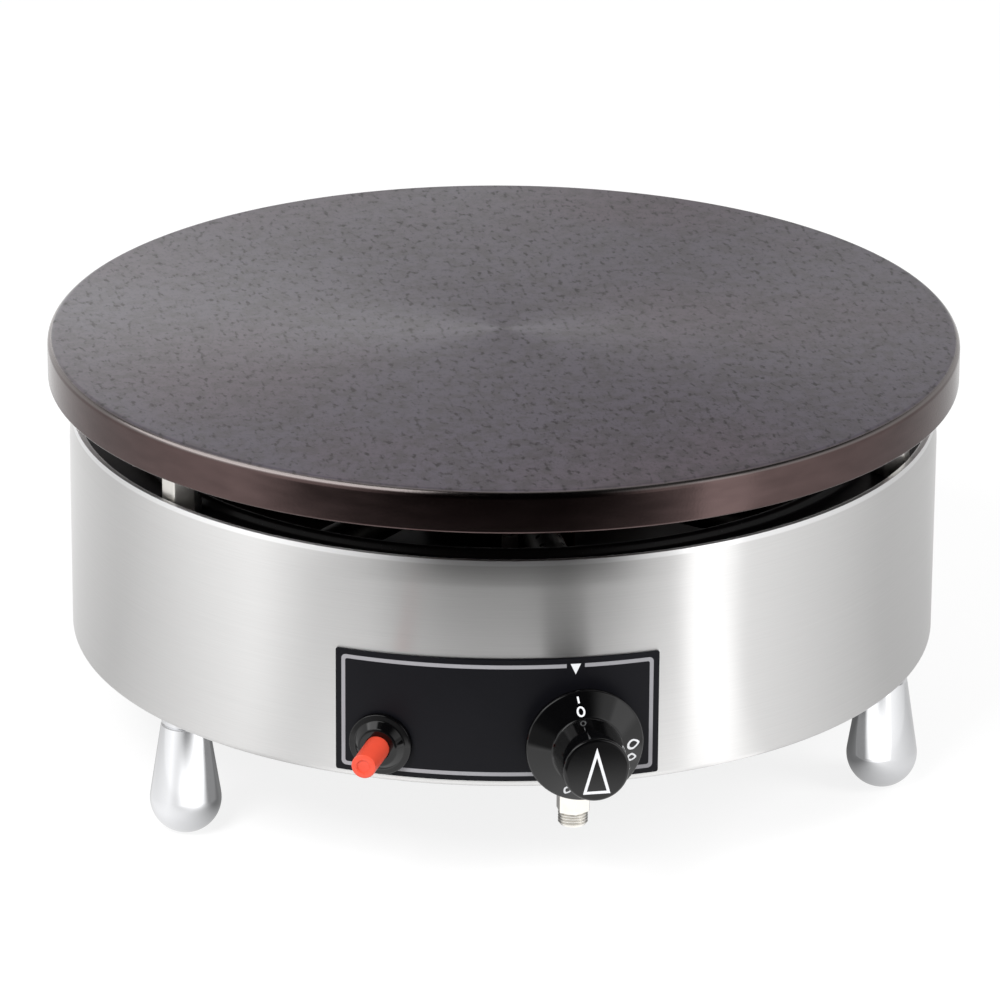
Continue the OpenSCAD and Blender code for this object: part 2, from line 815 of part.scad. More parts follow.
module air_shutter() {
    color([0.72, 0.72, 0.74]) outwards(tap_z, mixer_az) difference() {
        union() {
            rod(shutter_d / 2, shutter_at, shutter_at + shutter_t);
            rod(jet_r + shutter_hub_w, shutter_at, shutter_at + 2 * shutter_t);
        }
        rod(jet_r + fit_gap, shutter_at - past, shutter_at + 2 * shutter_t + past);
    }
}

// Gas jet: threaded body with a drilled cone that looks into the bell
module gas_jet() {
    jet_in = bell_end + jet_from_bell;
    jet_out = holder_in + jet_thread_h;
    color([0.80, 0.62, 0.28]) outwards(tap_z, mixer_az) difference() {
        union() {
            translate([0, 0, jet_in]) cylinder(r1 = jet_tip_r, r2 = jet_r, h = jet_tip_h);
            rod(jet_r, jet_in + jet_tip_h, jet_out);
        }
        rod(jet_bore_r, jet_in - past, holder_in);
        rod(jet_feed_r, holder_in - jet_feed_h, jet_out + past);
    }
}

module jet_holder() {
    color([0.74, 0.58, 0.28]) difference() {
        at_azimuth(mixer_az) translate([-holder_w / 2, -holder_in - holder_w, pan_top])
            cube([holder_w, holder_w, tap_z + holder_w / 2 - pan_top]);
        outwards(tap_z, mixer_az) rod(jet_r + fit_gap, holder_in - past, holder_in + holder_w - holder_wall);
        translate(holder_mid) rotate([0, 0, mixer_az - 90]) rotate([90, 0, 0])
            rod(pipe_r - pipe_wall, 0, holder_w / 2 + past);
    }
}

module gas_pipe() {
    pipe_path = concat(
        [pipe_start], [for (i = [0:pipe_steps]) bend_point(pipe_bend, i / pipe_steps)], [pipe_end]);
    color([0.78, 0.48, 0.32]) tube_along(pipe_path, pipe_r, pipe_sides);
}

// Tap body with a bored collar, an inlet boss below and an outlet at the side
module gas_tap() {
    color([0.76, 0.62, 0.32]) difference() {
        union() {
            outwards(tap_z) {
                rod(tap_r, tap_back, tap_front);
                rod(collar_r, tap_front - past, collar_end);
            }
            translate([0, -inlet_r, 0]) rod(inlet_boss_d / 2, inlet_top, tap_z);
            translate([0, -pipe_y, tap_z]) rotate([0, 90, 0]) rod(pipe_r + outlet_rim, 0, outlet_end);
        }
        outwards(tap_z) {
            rod(plug_r + run_gap, plug_back - fit_gap, collar_end - collar_lip);
            rod(spindle_r + run_gap, tap_back + tap_floor, collar_end + past);
        }
        translate([0, -inlet_r, 0]) {
            rod(inlet_thread_d / 2 + fit_gap, inlet_top - past, inlet_top + inlet_thread_h + thread_room);
            rod(inlet_bore_d / 2, inlet_top, tap_z);
        }
        translate([0, -pipe_y, tap_z]) rotate([0, 90, 0]) rod(pipe_r - pipe_wall, 0, outlet_end + past);
    }
}

module tap_nut() {
    color([0.78, 0.78, 0.80]) outwards(tap_z) difference() {
        hex_rod(nut_af, seat_out, seat_out + nut_h);
        rod(collar_r + fit_gap, seat_out - past, seat_out + nut_h + past);
    }
}

// Plug that the spindle's tang turns, with its gas way drilled across
module tap_plug() {
    color([0.80, 0.66, 0.36]) outwards(tap_z) difference() {
        rod(plug_r, plug_back, plug_front);
        translate([-tang_w / 2 - hole_gap, -tang_h / 2 - hole_gap, tang_back - push_travel - hole_gap])
            cube([tang_w + 2 * hole_gap, tang_h + 2 * hole_gap, plug_len]);
    }
}

module push_washer() {
    color([0.75, 0.75, 0.77]) outwards(tap_z) difference() {
        rod(plug_r - fit_gap, washer_out - washer_t, washer_out);
        rod(spindle_r + run_gap, washer_out - washer_t - past, washer_out + past);
    }
}

module tap_spring() {
    low = plug_front + spring_gap + wire_r;
    high = washer_out - washer_t - spring_gap - wire_r;
    coil_r = (plug_r + spindle_r) / 2;
    color([0.70, 0.70, 0.73]) outwards(tap_z) translate([0, 0, low])
        tube_along(coil(coil_r, high - low, tap_spring_turns, turn_steps), wire_r, wire_sides);
}

// Spindle: a tang for the plug, a round run through washer and collar, a flat for the knob
module tap_spindle() {
    shaft_back = plug_front + push_travel + spring_gap;
    color([0.78, 0.78, 0.80]) outwards(tap_z) {
        translate([-tang_w / 2, -tang_h / 2, tang_back])
            cube([tang_w, tang_h, shaft_back - tang_back + past]);
        d_shaft(spindle_r, shaft_back, knob_back + knob_hollow_h, spindle_end);
    }
}

// Knob: hollow coned skirt and a tapering round grip
module gas_knob() {
    front_edge = arc([grip_front_r - grip_edge_r, knob_front - grip_edge_r], grip_edge_r, 0, 90, edge_steps);
    hollow = knob_back + knob_hollow_h;
    skirt_in = skirt_r - skirt_wall;
    edge_end = knob_back + skirt_edge_h;
    cone_end = knob_back + cone_h;
    outline = concat(
        [[0, hollow], [grip_r - hollow_draft, hollow], [skirt_in, edge_end], [skirt_in, knob_back]],
        [[skirt_r, knob_back], [skirt_r, edge_end], [skirt_r - skirt_chamfer, edge_end + skirt_chamfer]],
        [[grip_r + grip_fillet_w, cone_end], [grip_r, cone_end + grip_fillet_h]],
        front_edge,
        [[0, knob_front]]);
    color([0.06, 0.06, 0.07]) outwards(tap_z) difference() {
        rotate_extrude() polygon(outline);
        d_shaft(spindle_r + fit_gap, hollow - past, hollow - past, spindle_end + hole_gap);
    }
}

// Plated inlet: thread into the tap, hexagon and a round end for the supply
module gas_inlet() {
    end_r = inlet_end_d / 2;
    edge = 0.8;
    hex_low = inlet_end + inlet_end_h;
    color([0.85, 0.86, 0.88]) translate([0, -inlet_r, 0]) difference() {
        union() {
            rod(inlet_thread_d / 2, inlet_top - past, inlet_top + inlet_thread_h);
            rotate([0, 0, 30]) hex_rod(inlet_af, hex_low, inlet_top);
            rod(end_r, inlet_end + edge, hex_low + past);
            translate([0, 0, inlet_end]) cylinder(r1 = end_r - edge, r2 = end_r, h = edge);
        }
        rod(inlet_bore_d / 2, inlet_end - past, inlet_top + inlet_thread_h + past);
    }
}

// Flame-failure magnet unit behind the tap, with the nut of its capillary
module magnet_unit() {
    color([0.72, 0.72, 0.70]) outwards(tap_z) {
        rod(magnet_d / 2, magnet_back, tap_back);
        hex_rod(magnet_hex_af, tap_back - magnet_hex_h, tap_back);
        hex_rod(lead_nut_af, magnet_back - lead_nut_h, magnet_back);
    }
}

module thermocouple() {
    color([0.72, 0.55, 0.38]) translate(thermo_xy) {
        rod(thermo_r, thermo_low, thermo_top);
        rod(thermo_collar_r, bowl_z, bowl_z + thermo_collar_h);
    }
}

module capillary() {
    color([0.75, 0.46, 0.30])
        tube_along(smooth(capillary_route, bend_steps), capillary_r, lead_sides, [1, 0, 0]);
}

// Igniter barrel with a stepped bezel outside and a sprung button inside
module igniter_barrel() {
    mouth_r = button_r + mouth_rim;
    edge_end = seat_out + bezel_edge_h;
    outline = [
        [button_r + run_gap, button_stop], [button_r + run_gap, bezel_end], [mouth_r, bezel_end],
        [bezel_r - bezel_step_w, edge_end + bezel_step_h], [bezel_r, edge_end], [bezel_r, seat_out],
        [barrel_r, seat_out], [barrel_r, barrel_back], [0, barrel_back],
        [0, barrel_back + barrel_floor], [barrel_hole_r, barrel_back + barrel_floor],
        [barrel_hole_r, button_stop]
    ];
    color([0.07, 0.07, 0.08]) outwards(igniter_z, igniter_az) {
        rotate_extrude() polygon(outline);
        rod(terminal_r, barrel_back - terminal_h, barrel_back);
    }
}

module igniter_nut() {
    color([0.12, 0.12, 0.13]) outwards(igniter_z, igniter_az) difference() {
        hex_rod(igniter_nut_af, igniter_nut_front - igniter_nut_h, igniter_nut_front);
        rod(barrel_r + fit_gap, igniter_nut_front - igniter_nut_h - past, igniter_nut_front + past);
    }
}

module igniter_button() {
    head_out = button_stop - fit_gap;
    head_in = head_out - button_head_h;
    outline = [
        [0, head_in], [barrel_hole_r - run_gap, head_in], [barrel_hole_r - run_gap, head_out],
        [button_r, head_out], [button_r, button_tip - button_edge], [button_r - button_edge, button_tip],
        [button_dish_r, button_tip], [button_dish_r - button_dish_draft, button_tip - button_dish_h],
        [0, button_tip - button_dish_h]
    ];
    color([0.90, 0.22, 0.14]) outwards(igniter_z, igniter_az) rotate_extrude() polygon(outline);
}

module igniter_spring() {
    low = barrel_back + barrel_floor + spring_gap + wire_r;
    high = button_stop - button_head_h - spring_gap - wire_r;
    coil_r = barrel_hole_r - igniter_spring_gap;
    color([0.70, 0.70, 0.73]) outwards(igniter_z, igniter_az) translate([0, 0, low])
        tube_along(coil(coil_r, high - low, igniter_spring_turns, turn_steps), wire_r, wire_sides);
}

module ignition_lead() {
    color([0.16, 0.15, 0.15]) tube_along(smooth(lead_route, bend_steps), lead_r, lead_sides);
}

module electrode_insulator() {
    color([0.92, 0.90, 0.86]) translate(electrode_xy) difference() {
        union() {
            rod(insulator_r, insulator_low, insulator_top);
            rod(insulator_collar_r, bowl_z, bowl_z + insulator_collar_h);
        }
        rod(electrode_wire_r + fit_gap, insulator_low - past, insulator_top + past);
    }
}

// Steel wire of the spark electrode, with its tip turned towards the arm
module spark_electrode() {
    color([0.66, 0.66, 0.68]) translate(electrode_xy) {
        rod(electrode_wire_r, electrode_low, electrode_top);
        translate([0, 0, electrode_top - electrode_wire_r]) rotate([0, 90, 0])
            cylinder(r = electrode_wire_r, h = electrode_tip);
    }
}

griddle_plate();
body_shell();
base_pan();
burner_bowl();
control_panel();
for (i = [0:2]) {
    foot(i);
    tie_rod(i);
    pillar(i);
    post(i);
}
burner_riser();
burner_cap();
burner_screws();
for (i = [1:arm_count]) {
    burner_arm(i);
}
mixing_tube();
air_shutter();
gas_jet();
jet_holder();
gas_pipe();
gas_tap();
tap_nut();
tap_plug();
push_washer();
tap_spring();
tap_spindle();
gas_knob();
gas_inlet();
magnet_unit();
thermocouple();
capillary();
igniter_barrel();
igniter_nut();
igniter_button();
igniter_spring();
ignition_lead();
electrode_insulator();
spark_electrode();
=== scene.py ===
"""Looks of a table-top gas crepe maker, dressed on its packed construction model."""

import json
import math

import bmesh
import bpy
from bpy.props import FloatProperty, FloatVectorProperty, IntProperty, PointerProperty
from mathutils import Matrix, Vector


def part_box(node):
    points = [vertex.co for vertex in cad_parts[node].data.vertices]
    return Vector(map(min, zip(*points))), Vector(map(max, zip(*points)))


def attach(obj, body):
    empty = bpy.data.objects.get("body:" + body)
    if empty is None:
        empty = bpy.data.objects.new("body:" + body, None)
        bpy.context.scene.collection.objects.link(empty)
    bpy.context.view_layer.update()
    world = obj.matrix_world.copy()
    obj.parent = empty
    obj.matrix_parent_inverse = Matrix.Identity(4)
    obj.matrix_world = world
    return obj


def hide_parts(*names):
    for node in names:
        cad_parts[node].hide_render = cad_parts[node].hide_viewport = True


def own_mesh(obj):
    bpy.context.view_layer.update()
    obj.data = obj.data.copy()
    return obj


bl_info = {
    "name": "Gas crepe maker",
    "version": (1, 0, 0),
    "blender": (4, 5, 0),
    "location": "3D View > Sidebar > Crepe maker",
    "description": "Builds the visible pieces and finishes of a gas crepe maker",
    "category": "Object",
}

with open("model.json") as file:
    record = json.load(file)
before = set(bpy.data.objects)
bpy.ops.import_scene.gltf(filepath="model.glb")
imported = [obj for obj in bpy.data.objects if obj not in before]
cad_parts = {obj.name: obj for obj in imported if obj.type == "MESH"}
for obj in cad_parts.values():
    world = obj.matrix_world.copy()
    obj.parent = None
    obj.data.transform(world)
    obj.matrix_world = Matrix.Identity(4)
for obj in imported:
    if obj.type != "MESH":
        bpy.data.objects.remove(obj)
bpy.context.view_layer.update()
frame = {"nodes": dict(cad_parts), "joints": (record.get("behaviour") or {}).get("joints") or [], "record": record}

CHASSIS = "chassis"
SIDES = ("left", "right", "rear")
FULL_TURN = 2 * math.pi
MERGE = 1e-6
SHARP = math.radians(32)

# Lengths in metres: how far united shapes run into each other, how far a cutting shape stands out,
# and the gap that keeps the igniter's pieces apart.
OVERLAP = 0.001
CLEAR = 0.01
HAIR_GAP = 0.00004

# Mesh steps: of a rounded corner, of a plate's corner, of a bent sheet, of a wire and of one turn of it.
ROUNDING_STEPS = 5
CORNER_STEPS = 6
BEND_STRIPS = 48
WIRE_SIDES = 10
WIRE_STEPS = 32

# A triangle whose corners lie on a circle of radius 1.
TRIANGLE_WIDTH = math.sqrt(3)
TRIANGLE_HEIGHT = 1.5


def low_of(node):
    """Lowest corner of a construction node."""
    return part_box(node)[0]


def high_of(node):
    """Highest corner of a construction node."""
    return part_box(node)[1]


def middle_of(node):
    """Centre of a construction node's box."""
    return (low_of(node) + high_of(node)) / 2


def joint_axis(name):
    """Direction of a joint, as a vector."""
    return Vector(next(joint["axis"] for joint in frame["joints"] if joint["name"] == name))


def bearing_of(place):
    """Angle of a place round the drum, from the front (-Y) towards +X."""
    return math.atan2(place.x, -place.y)


PLATE_TOP = high_of("griddle_plate").z
DRUM_RADIUS = high_of("body_shell").x
DRUM_FOOT = low_of("body_shell").z
DRUM_TOP = high_of("body_shell").z
DECK = low_of("post_left").z
KNOB_BACK = -high_of("gas_knob").y
KNOB_FRONT = -low_of("gas_knob").y
KNOB_LEVEL = middle_of("gas_knob").z
IGNITER_LEVEL = middle_of("igniter_barrel").z
IGNITER_BEARING = bearing_of(-joint_axis("igniter_press"))
PANEL_FACE = -low_of("control_panel").y

# Heights between which one finish goes over into another.
FACE_BORDER = (PLATE_TOP - 0.0008, PLATE_TOP - 0.0002)
# The griddle's upper edge band: rubbed-bare metal, made paler also as a painted highlight.
WEAR_AND_HIGHLIGHT_BORDER = (PLATE_TOP - 0.0024, PLATE_TOP - 0.0014)
# The drum's top band, which takes the paler lip colour: a painted highlight along the rolled edge.
LIP_HIGHLIGHT_BORDER = (DRUM_TOP - 0.0026, DRUM_TOP - 0.0018)


def length(name, description, default):
    """A size in metres for the sidebar."""
    return FloatProperty(
        name=name, description=description, default=default, min=0.0, precision=4, unit="LENGTH"
    )


def colour(name, description, default):
    """A surface colour for the sidebar."""
    return FloatVectorProperty(
        name=name, description=description, default=default, size=3, min=0.0, max=1.0, subtype="COLOR"
    )


def angle(name, description, degrees):
    """An angle for the sidebar, given in degrees."""
    return FloatProperty(
        name=name, description=description, default=math.radians(degrees), subtype="ANGLE"
    )


def number(name, description, default):
    """A plain number for the sidebar."""
    return FloatProperty(name=name, description=description, default=default, min=0.0)


def count(name, description, default):
    """A whole number for the sidebar."""
    return IntProperty(name=name, description=description, default=default, min=1)


class GriddleSettings(bpy.types.PropertyGroup):
    """Sizes and colours of the cast griddle plate."""

    radius: length("Radius", "Outer radius of the plate", round(high_of("griddle_plate").x, 5))
    thickness: length("Thickness", "Thickness of the plate inside its rim", 0.014)
    rim_height: length("Rim height", "Height of the rim round the plate", 0.0185)
    rim_width: length("Rim width", "Width of the rim at its lower face", 0.014)
    rim_draft: length("Rim draft", "How far the rim's inner side leans", 0.002)
    edge: length("Edge", "Rounding of the upper edge", 0.0034)
    cast_edge: length("Cast edge", "Rounding of the cast corners under the plate", 0.001)
    inner_edge: length("Inner edge", "Rounding of the rim's lower inner edge", 0.0008)
    boss_radius: length("Boss radius", "Radius of the bosses that lie on the posts", 0.012)
    socket_radius: length("Socket radius", "Radius of the holes for the posts' pins", 0.00485)
    socket_depth: length("Socket depth", "Depth of the holes for the posts' pins", 0.006)
    lug_radius: length("Lug radius", "Radius of the small cast lugs under the rim", 0.004)
    lug_tip: length("Lug tip", "Radius of the lugs at their lower end", 0.0028)
    lug_drop: length("Lug drop", "Height of the lugs", 0.0026)
    lug_turn: angle("Lug turn", "How far the lugs stand beside the posts", -3.2)
    top: colour("Top", "Ground and seasoned cooking face", (0.074, 0.065, 0.081))
    warm: colour("Warm", "Browned patches of the cooking face", (0.081, 0.065, 0.078))
    pits: colour("Pits", "Small dark pits in the cooking face", (0.030, 0.026, 0.028))
    rim: colour("Rim", "Oil-browned rim", (0.088, 0.060, 0.058))
    # Paler upper edge: rubbed-bare wear, and partly a painted highlight along the edge.
    wear_and_highlight: colour("Worn", "Upper edge, rubbed bare", (0.21, 0.19, 0.185))


class DrumSettings(bpy.types.PropertyGroup):
    """Sizes and colour of the sheet-steel drum."""

    sheet: length("Sheet", "Thickness of the sheet", 0.001)
    corner: length("Corner", "Rounding of the lower corner", 0.003)
    hem: length("Hem", "Radius of the rolled upper edge", 0.00215)
    hem_drop: length("Hem drop", "How far the roll reaches down inside", 0.0036)
    hem_edge: length("Hem edge", "Rounding of the roll on both sides", 0.0013)
    lean: length("Lean", "How far the upper edge leans inwards", 0.0014)
    lean_drop: length("Lean drop", "How far below the top that lean begins", 0.006)
    flange: length("Flange", "Width of the flange under the drum", 0.031)
    hole: length("Hole", "Radius of the holes for the tap and the igniter", 0.0093)
    inlet_hole: length("Inlet hole", "Radius of the hole for the gas inlet", 0.009)
    steel: colour("Steel", "Brushed stainless steel", (0.66, 0.655, 0.65))
    # The lip colour is a painted highlight: a paler band that makes the drum's upper edge read as a light line.
    lip: colour("Lip", "Polished upper edge", (0.82, 0.82, 0.82))


class BowlSettings(bpy.types.PropertyGroup):
    """Sizes and colour of the enamelled burner bowl."""

    sheet: length("Sheet", "Thickness of the sheet", 0.0015)
    deck_width: length("Deck width", "Width of the flat deck that carries the posts", 0.019)
    lip: length("Lip", "Height of the turned-down outer lip", 0.006)
    bead: length("Bead", "Height of the bead inside the deck", 0.0035)
    bead_width: length("Bead width", "Width of the bead on top", 0.003)
    depth: length("Depth", "Depth of the bowl below its deck", 0.047)
    floor_radius: length("Floor radius", "Radius of the bowl's floor", 0.146)
    throat_radius: length("Throat radius", "Radius of the opening for the burner", 0.034)
    throat_lip: length("Throat lip", "Height of the lip round that opening", 0.006)
    deck_edge: length("Deck edge", "Rounding of the deck's outer edge", 0.0018)
    bead_edge: length("Bead edge", "Rounding of the bead", 0.0012)
    floor_edge: length("Floor edge", "Rounding between wall and floor", 0.006)
    throat_edge: length("Throat edge", "Rounding at the foot of the throat's lip", 0.002)
    fold: length("Fold", "Rounding of the other folds", 0.001)
    inner_edge: length("Inner edge", "Rounding of folds on the lower face", 0.0006)
    enamel: colour("Enamel", "Black enamel", (0.005, 0.0045, 0.005))
    speck: colour("Speck", "Small lights in the enamel", (0.09, 0.09, 0.095))


class StandSettings(bpy.types.PropertyGroup):
    """Sizes and colours of the feet and the griddle's posts."""

    bulb_radius: length("Bulb radius", "Largest radius of a foot", 0.0155)
    pad_radius: length("Pad radius", "Radius on which a foot stands", 0.005)
    neck_radius: length("Neck radius", "Radius of a foot under the drum", 0.010)
    neck_edge: length("Neck edge", "Rounding at the top of a foot", 0.0006)
    collar: length("Collar", "Height of the collar at the top of a foot", 0.003)
    groove_depth: length("Groove depth", "Depth of the groove under that collar", 0.0006)
    post_width: length("Post width", "Width of a post across its flats", 0.015)
    post_edge: length("Post edge", "Chamfer on a post's edges", 0.0005)
    post_height: length("Post height", "Height of a post below its pin", 0.024)
    pin_radius: length("Pin radius", "Radius of the pin on a post", 0.0045)
    pin_edge: length("Pin edge", "Chamfer on the pin", 0.001)
    foot: colour("Foot", "Polished aluminium", (0.76, 0.765, 0.78))
    post: colour("Post", "Nickel plate", (0.74, 0.72, 0.68))


class PanelSettings(bpy.types.PropertyGroup):
    """Sizes and colours of the control panel."""

    width: length("Width", "Width along the drum", 0.138)
    height: length("Height", "Height of the panel", 0.055)
    thickness: length("Thickness", "Thickness of the panel", 0.0008)
    corner: length("Corner", "Rounding of the corners", 0.001)
    edge: length("Edge", "Rounding of the front edge", 0.0002)
    line_inset: length("Line inset", "Distance from the edge to the border line", 0.0024)
    line_width: length("Line width", "Width of the border line", 0.0017)
    line_corner: length("Line corner", "Rounding of the border line", 0.002)
    line_inside: length("Line inside", "Rounding of the border line's inner side", 0.00098)
    line_gap: length("Line gap", "Gap in the border line above the knob", 0.0077)
    pointer_width: length("Pointer width", "Width of the mark above the knob", 0.0044)
    pointer_height: length("Pointer height", "Height of the mark above the knob", 0.0048)
    print_height: length("Print height", "How far the print stands proud", 0.00005)
    pointer_turn: angle("Pointer turn", "How far the mark stands beside the knob's axis", -0.85)
    black: colour("Black", "Satin black lacquer", (0.0055, 0.0055, 0.0075))
    silver: colour("Silver", "Border line", (0.31, 0.305, 0.325))


class KnobSettings(bpy.types.PropertyGroup):
    """Sizes and colours of the gas knob."""

    skirt_radius: length("Skirt radius", "Outer radius of the skirt", 0.025)
    skirt_edge: length("Skirt edge", "Height of the skirt's straight edge", 0.0022)
    skirt_wall: length("Skirt wall", "Wall of the skirt", 0.0024)
    cone_height: length("Cone height", "Height at which the skirt meets the grip", 0.0085)
    hollow: length("Hollow", "Depth of the hollow at the back", 0.0054)
    grip_radius: length("Grip radius", "Radius of the grip at the skirt", 0.01475)
    grip_front: length("Grip front", "Radius of the grip at its front", 0.014)
    grip_edge: length("Grip edge", "Rounding of the grip's front edge", 0.0016)
    fillet: length("Fillet", "Fillet between skirt and grip", 0.001)
    rim_edge: length("Rim edge", "Rounding of the skirt's outer edge", 0.0008)
    back_edge: length("Back edge", "Rounding of the skirt's back edge", 0.0004)
    inner_edge: length("Inner edge", "Rounding inside the skirt's back edge", 0.0003)
    hollow_edge: length("Hollow edge", "Rounding in the hollow", 0.0005)
    hollow_inset: length("Hollow inset", "How far the hollow's floor stays inside the grip", 0.001)
    off_turn: angle("Off turn", "How far the nought stands beside the top", 9.0)
    mark: length("Mark", "Thickness of the printed strokes", 0.0008)
    print_height: length("Print height", "How far the print stands proud", 0.00005)
    nought_width: length("Nought width", "Width of the printed nought", 0.0036)
    arrow_width: length("Arrow width", "Width of the outlined triangle", 0.0116)
    arrow_height: length("Arrow height", "Height of the outlined triangle", 0.0208)
    arrow_stroke: length("Arrow stroke", "Stroke of the outlined triangle", 0.0012)
    black: colour("Black", "Glossy black plastic", (0.0018, 0.0018, 0.0020))
    white: colour("White", "White print", (0.80, 0.81, 0.83))


class IgniterSettings(bpy.types.PropertyGroup):
    """Sizes and colours of the piezo igniter."""

    bezel_radius: length("Bezel radius", "Outer radius of the bezel", 0.0135)
    bezel_edge: length("Bezel edge", "Height of the bezel's outer step", 0.0026)
    bezel_step: length("Bezel step", "Width of the outer step", 0.0025)
    bezel_height: length("Bezel height", "Height of the bezel", 0.0064)
    mouth: length("Mouth", "Width of the rim round the button", 0.003)
    barrel_radius: length("Barrel radius", "Radius of the barrel behind the panel", 0.009)
    bore_radius: length("Bore radius", "Radius inside the barrel", 0.007)
    barrel_depth: length("Barrel depth", "Depth of the barrel behind its seat", 0.049)
    barrel_floor: length("Barrel floor", "Thickness of the barrel's end", 0.003)
    stop_depth: length("Stop depth", "Depth of the button's stop behind the seat", 0.004)
    terminal_radius: length("Terminal radius", "Radius of the contact on the barrel", 0.0025)
    terminal_height: length("Terminal height", "Height of the contact", 0.004)
    button_radius: length("Button radius", "Radius of the button", 0.00525)
    button_reach: length("Button reach", "How far the button stands out of the bezel", 0.0205)
    button_head: length("Button head", "Thickness of the button's inner collar", 0.004)
    button_edge: length("Button edge", "Rounding of the button's tip", 0.0008)
    dish_radius: length("Dish radius", "Radius of the dish in the tip", 0.003)
    dish_depth: length("Dish depth", "Depth of the dish", 0.0008)
    play: length("Play", "Running gap round the button", 0.00006)
    edge: length("Edge", "Rounding of the small edges", 0.0004)
    mouth_edge: length("Mouth edge", "Rounding of the bezel's front edge", 0.0007)
    step_edge: length("Step edge", "Rounding of the bezel's outer step", 0.0006)
    step_rise: length("Step rise", "How far the outer step rises inwards", 0.0003)
    seat_edge: length("Seat edge", "Rounding of the bezel at the panel", 0.0002)
    barrel_edge: length("Barrel edge", "Rounding of the barrel's end", 0.0008)
    dish_edge: length("Dish edge", "Rounding in the dish", 0.0003)
    dish_lean: length("Dish lean", "How far the dish narrows", 0.0004)
    red: colour("Red", "Orange-red plastic", (0.80, 0.085, 0.045))


class InletSettings(bpy.types.PropertyGroup):
    """Sizes of the gas inlet fitting."""

    hex_width: length("Hexagon width", "Width across the flats", 0.013)
    hex_foot: length("Hexagon foot", "Level of the hexagon's lower end", 0.035)
    hex_top: length("Hexagon top", "Level of the hexagon's upper end", 0.058)
    hex_edge: length("Hexagon edge", "Chamfer on the hexagon", 0.0005)
    end_radius: length("End radius", "Outer radius of the threaded end", 0.00635)
    thread_pitch: length("Thread pitch", "Pitch of the thread", 0.0013)
    thread_depth: length("Thread depth", "Depth of the thread", 0.0007)
    thread_start: length("Thread start", "Plain length before the thread", 0.0004)
    bore_radius: length("Bore radius", "Radius of the bore", 0.0032)
    neck_radius: length("Neck radius", "Radius of the end in the tap", 0.00495)
    turns: count("Turns", "Turns of thread that show", 4)


class SpringSettings(bpy.types.PropertyGroup):
    """Sizes of the wound springs."""

    wire: length("Wire", "Radius of the wire", 0.0006)
    tap_turns: count("Tap turns", "Turns of the tap's spring", 5)
    igniter_turns: count("Igniter turns", "Turns of the igniter's spring", 8)


class StageSettings(bpy.types.PropertyGroup):
    """Camera, floor and light."""

    lens: number("Lens", "Focal length in millimetres", 237.78)
    bearing: angle("Bearing", "Direction of the camera round the object", -10.11)
    tilt: angle("Tilt", "How far the camera looks down", 21.21)
    roll: angle("Roll", "Roll of the camera", 0.38)
    floor: colour("Floor", "Pale floor", (0.75, 0.75, 0.75))
    wall_radius: length("Wall radius", "Radius of the reflecting wall of the light tent", 0.36)
    wall_height: length("Wall height", "Height of the light tent", 1.1)
    sky: number("Sky", "Level of the all-round light", 0.55)
    key: number("Key", "Power of the main soft light in watts", 42.0)
    fill: number("Fill", "Power of the second soft light in watts", 16.0)


class CrepeMakerSettings(bpy.types.PropertyGroup):
    """All sizes and colours, piece by piece."""

    griddle: PointerProperty(type=GriddleSettings)
    drum: PointerProperty(type=DrumSettings)
    bowl: PointerProperty(type=BowlSettings)
    stand: PointerProperty(type=StandSettings)
    panel: PointerProperty(type=PanelSettings)
    knob: PointerProperty(type=KnobSettings)
    igniter: PointerProperty(type=IgniterSettings)
    inlet: PointerProperty(type=InletSettings)
    springs: PointerProperty(type=SpringSettings)
    stage: PointerProperty(type=StageSettings)


def arithmetic(operation):
    """The methods of an operator and of its reflected form."""

    def plain(value, other):
        return value.nodes.maths(operation, value, other)

    def reflected(value, other):
        return value.nodes.maths(operation, other, value)

    return plain, reflected


class Value:
    """An output socket whose arithmetic adds Math nodes."""

    __add__, __radd__ = arithmetic("ADD")
    __sub__, __rsub__ = arithmetic("SUBTRACT")
    __mul__, __rmul__ = arithmetic("MULTIPLY")
    __truediv__, __rtruediv__ = arithmetic("DIVIDE")

    def __init__(self, nodes, socket):
        self.nodes = nodes
        self.socket = socket


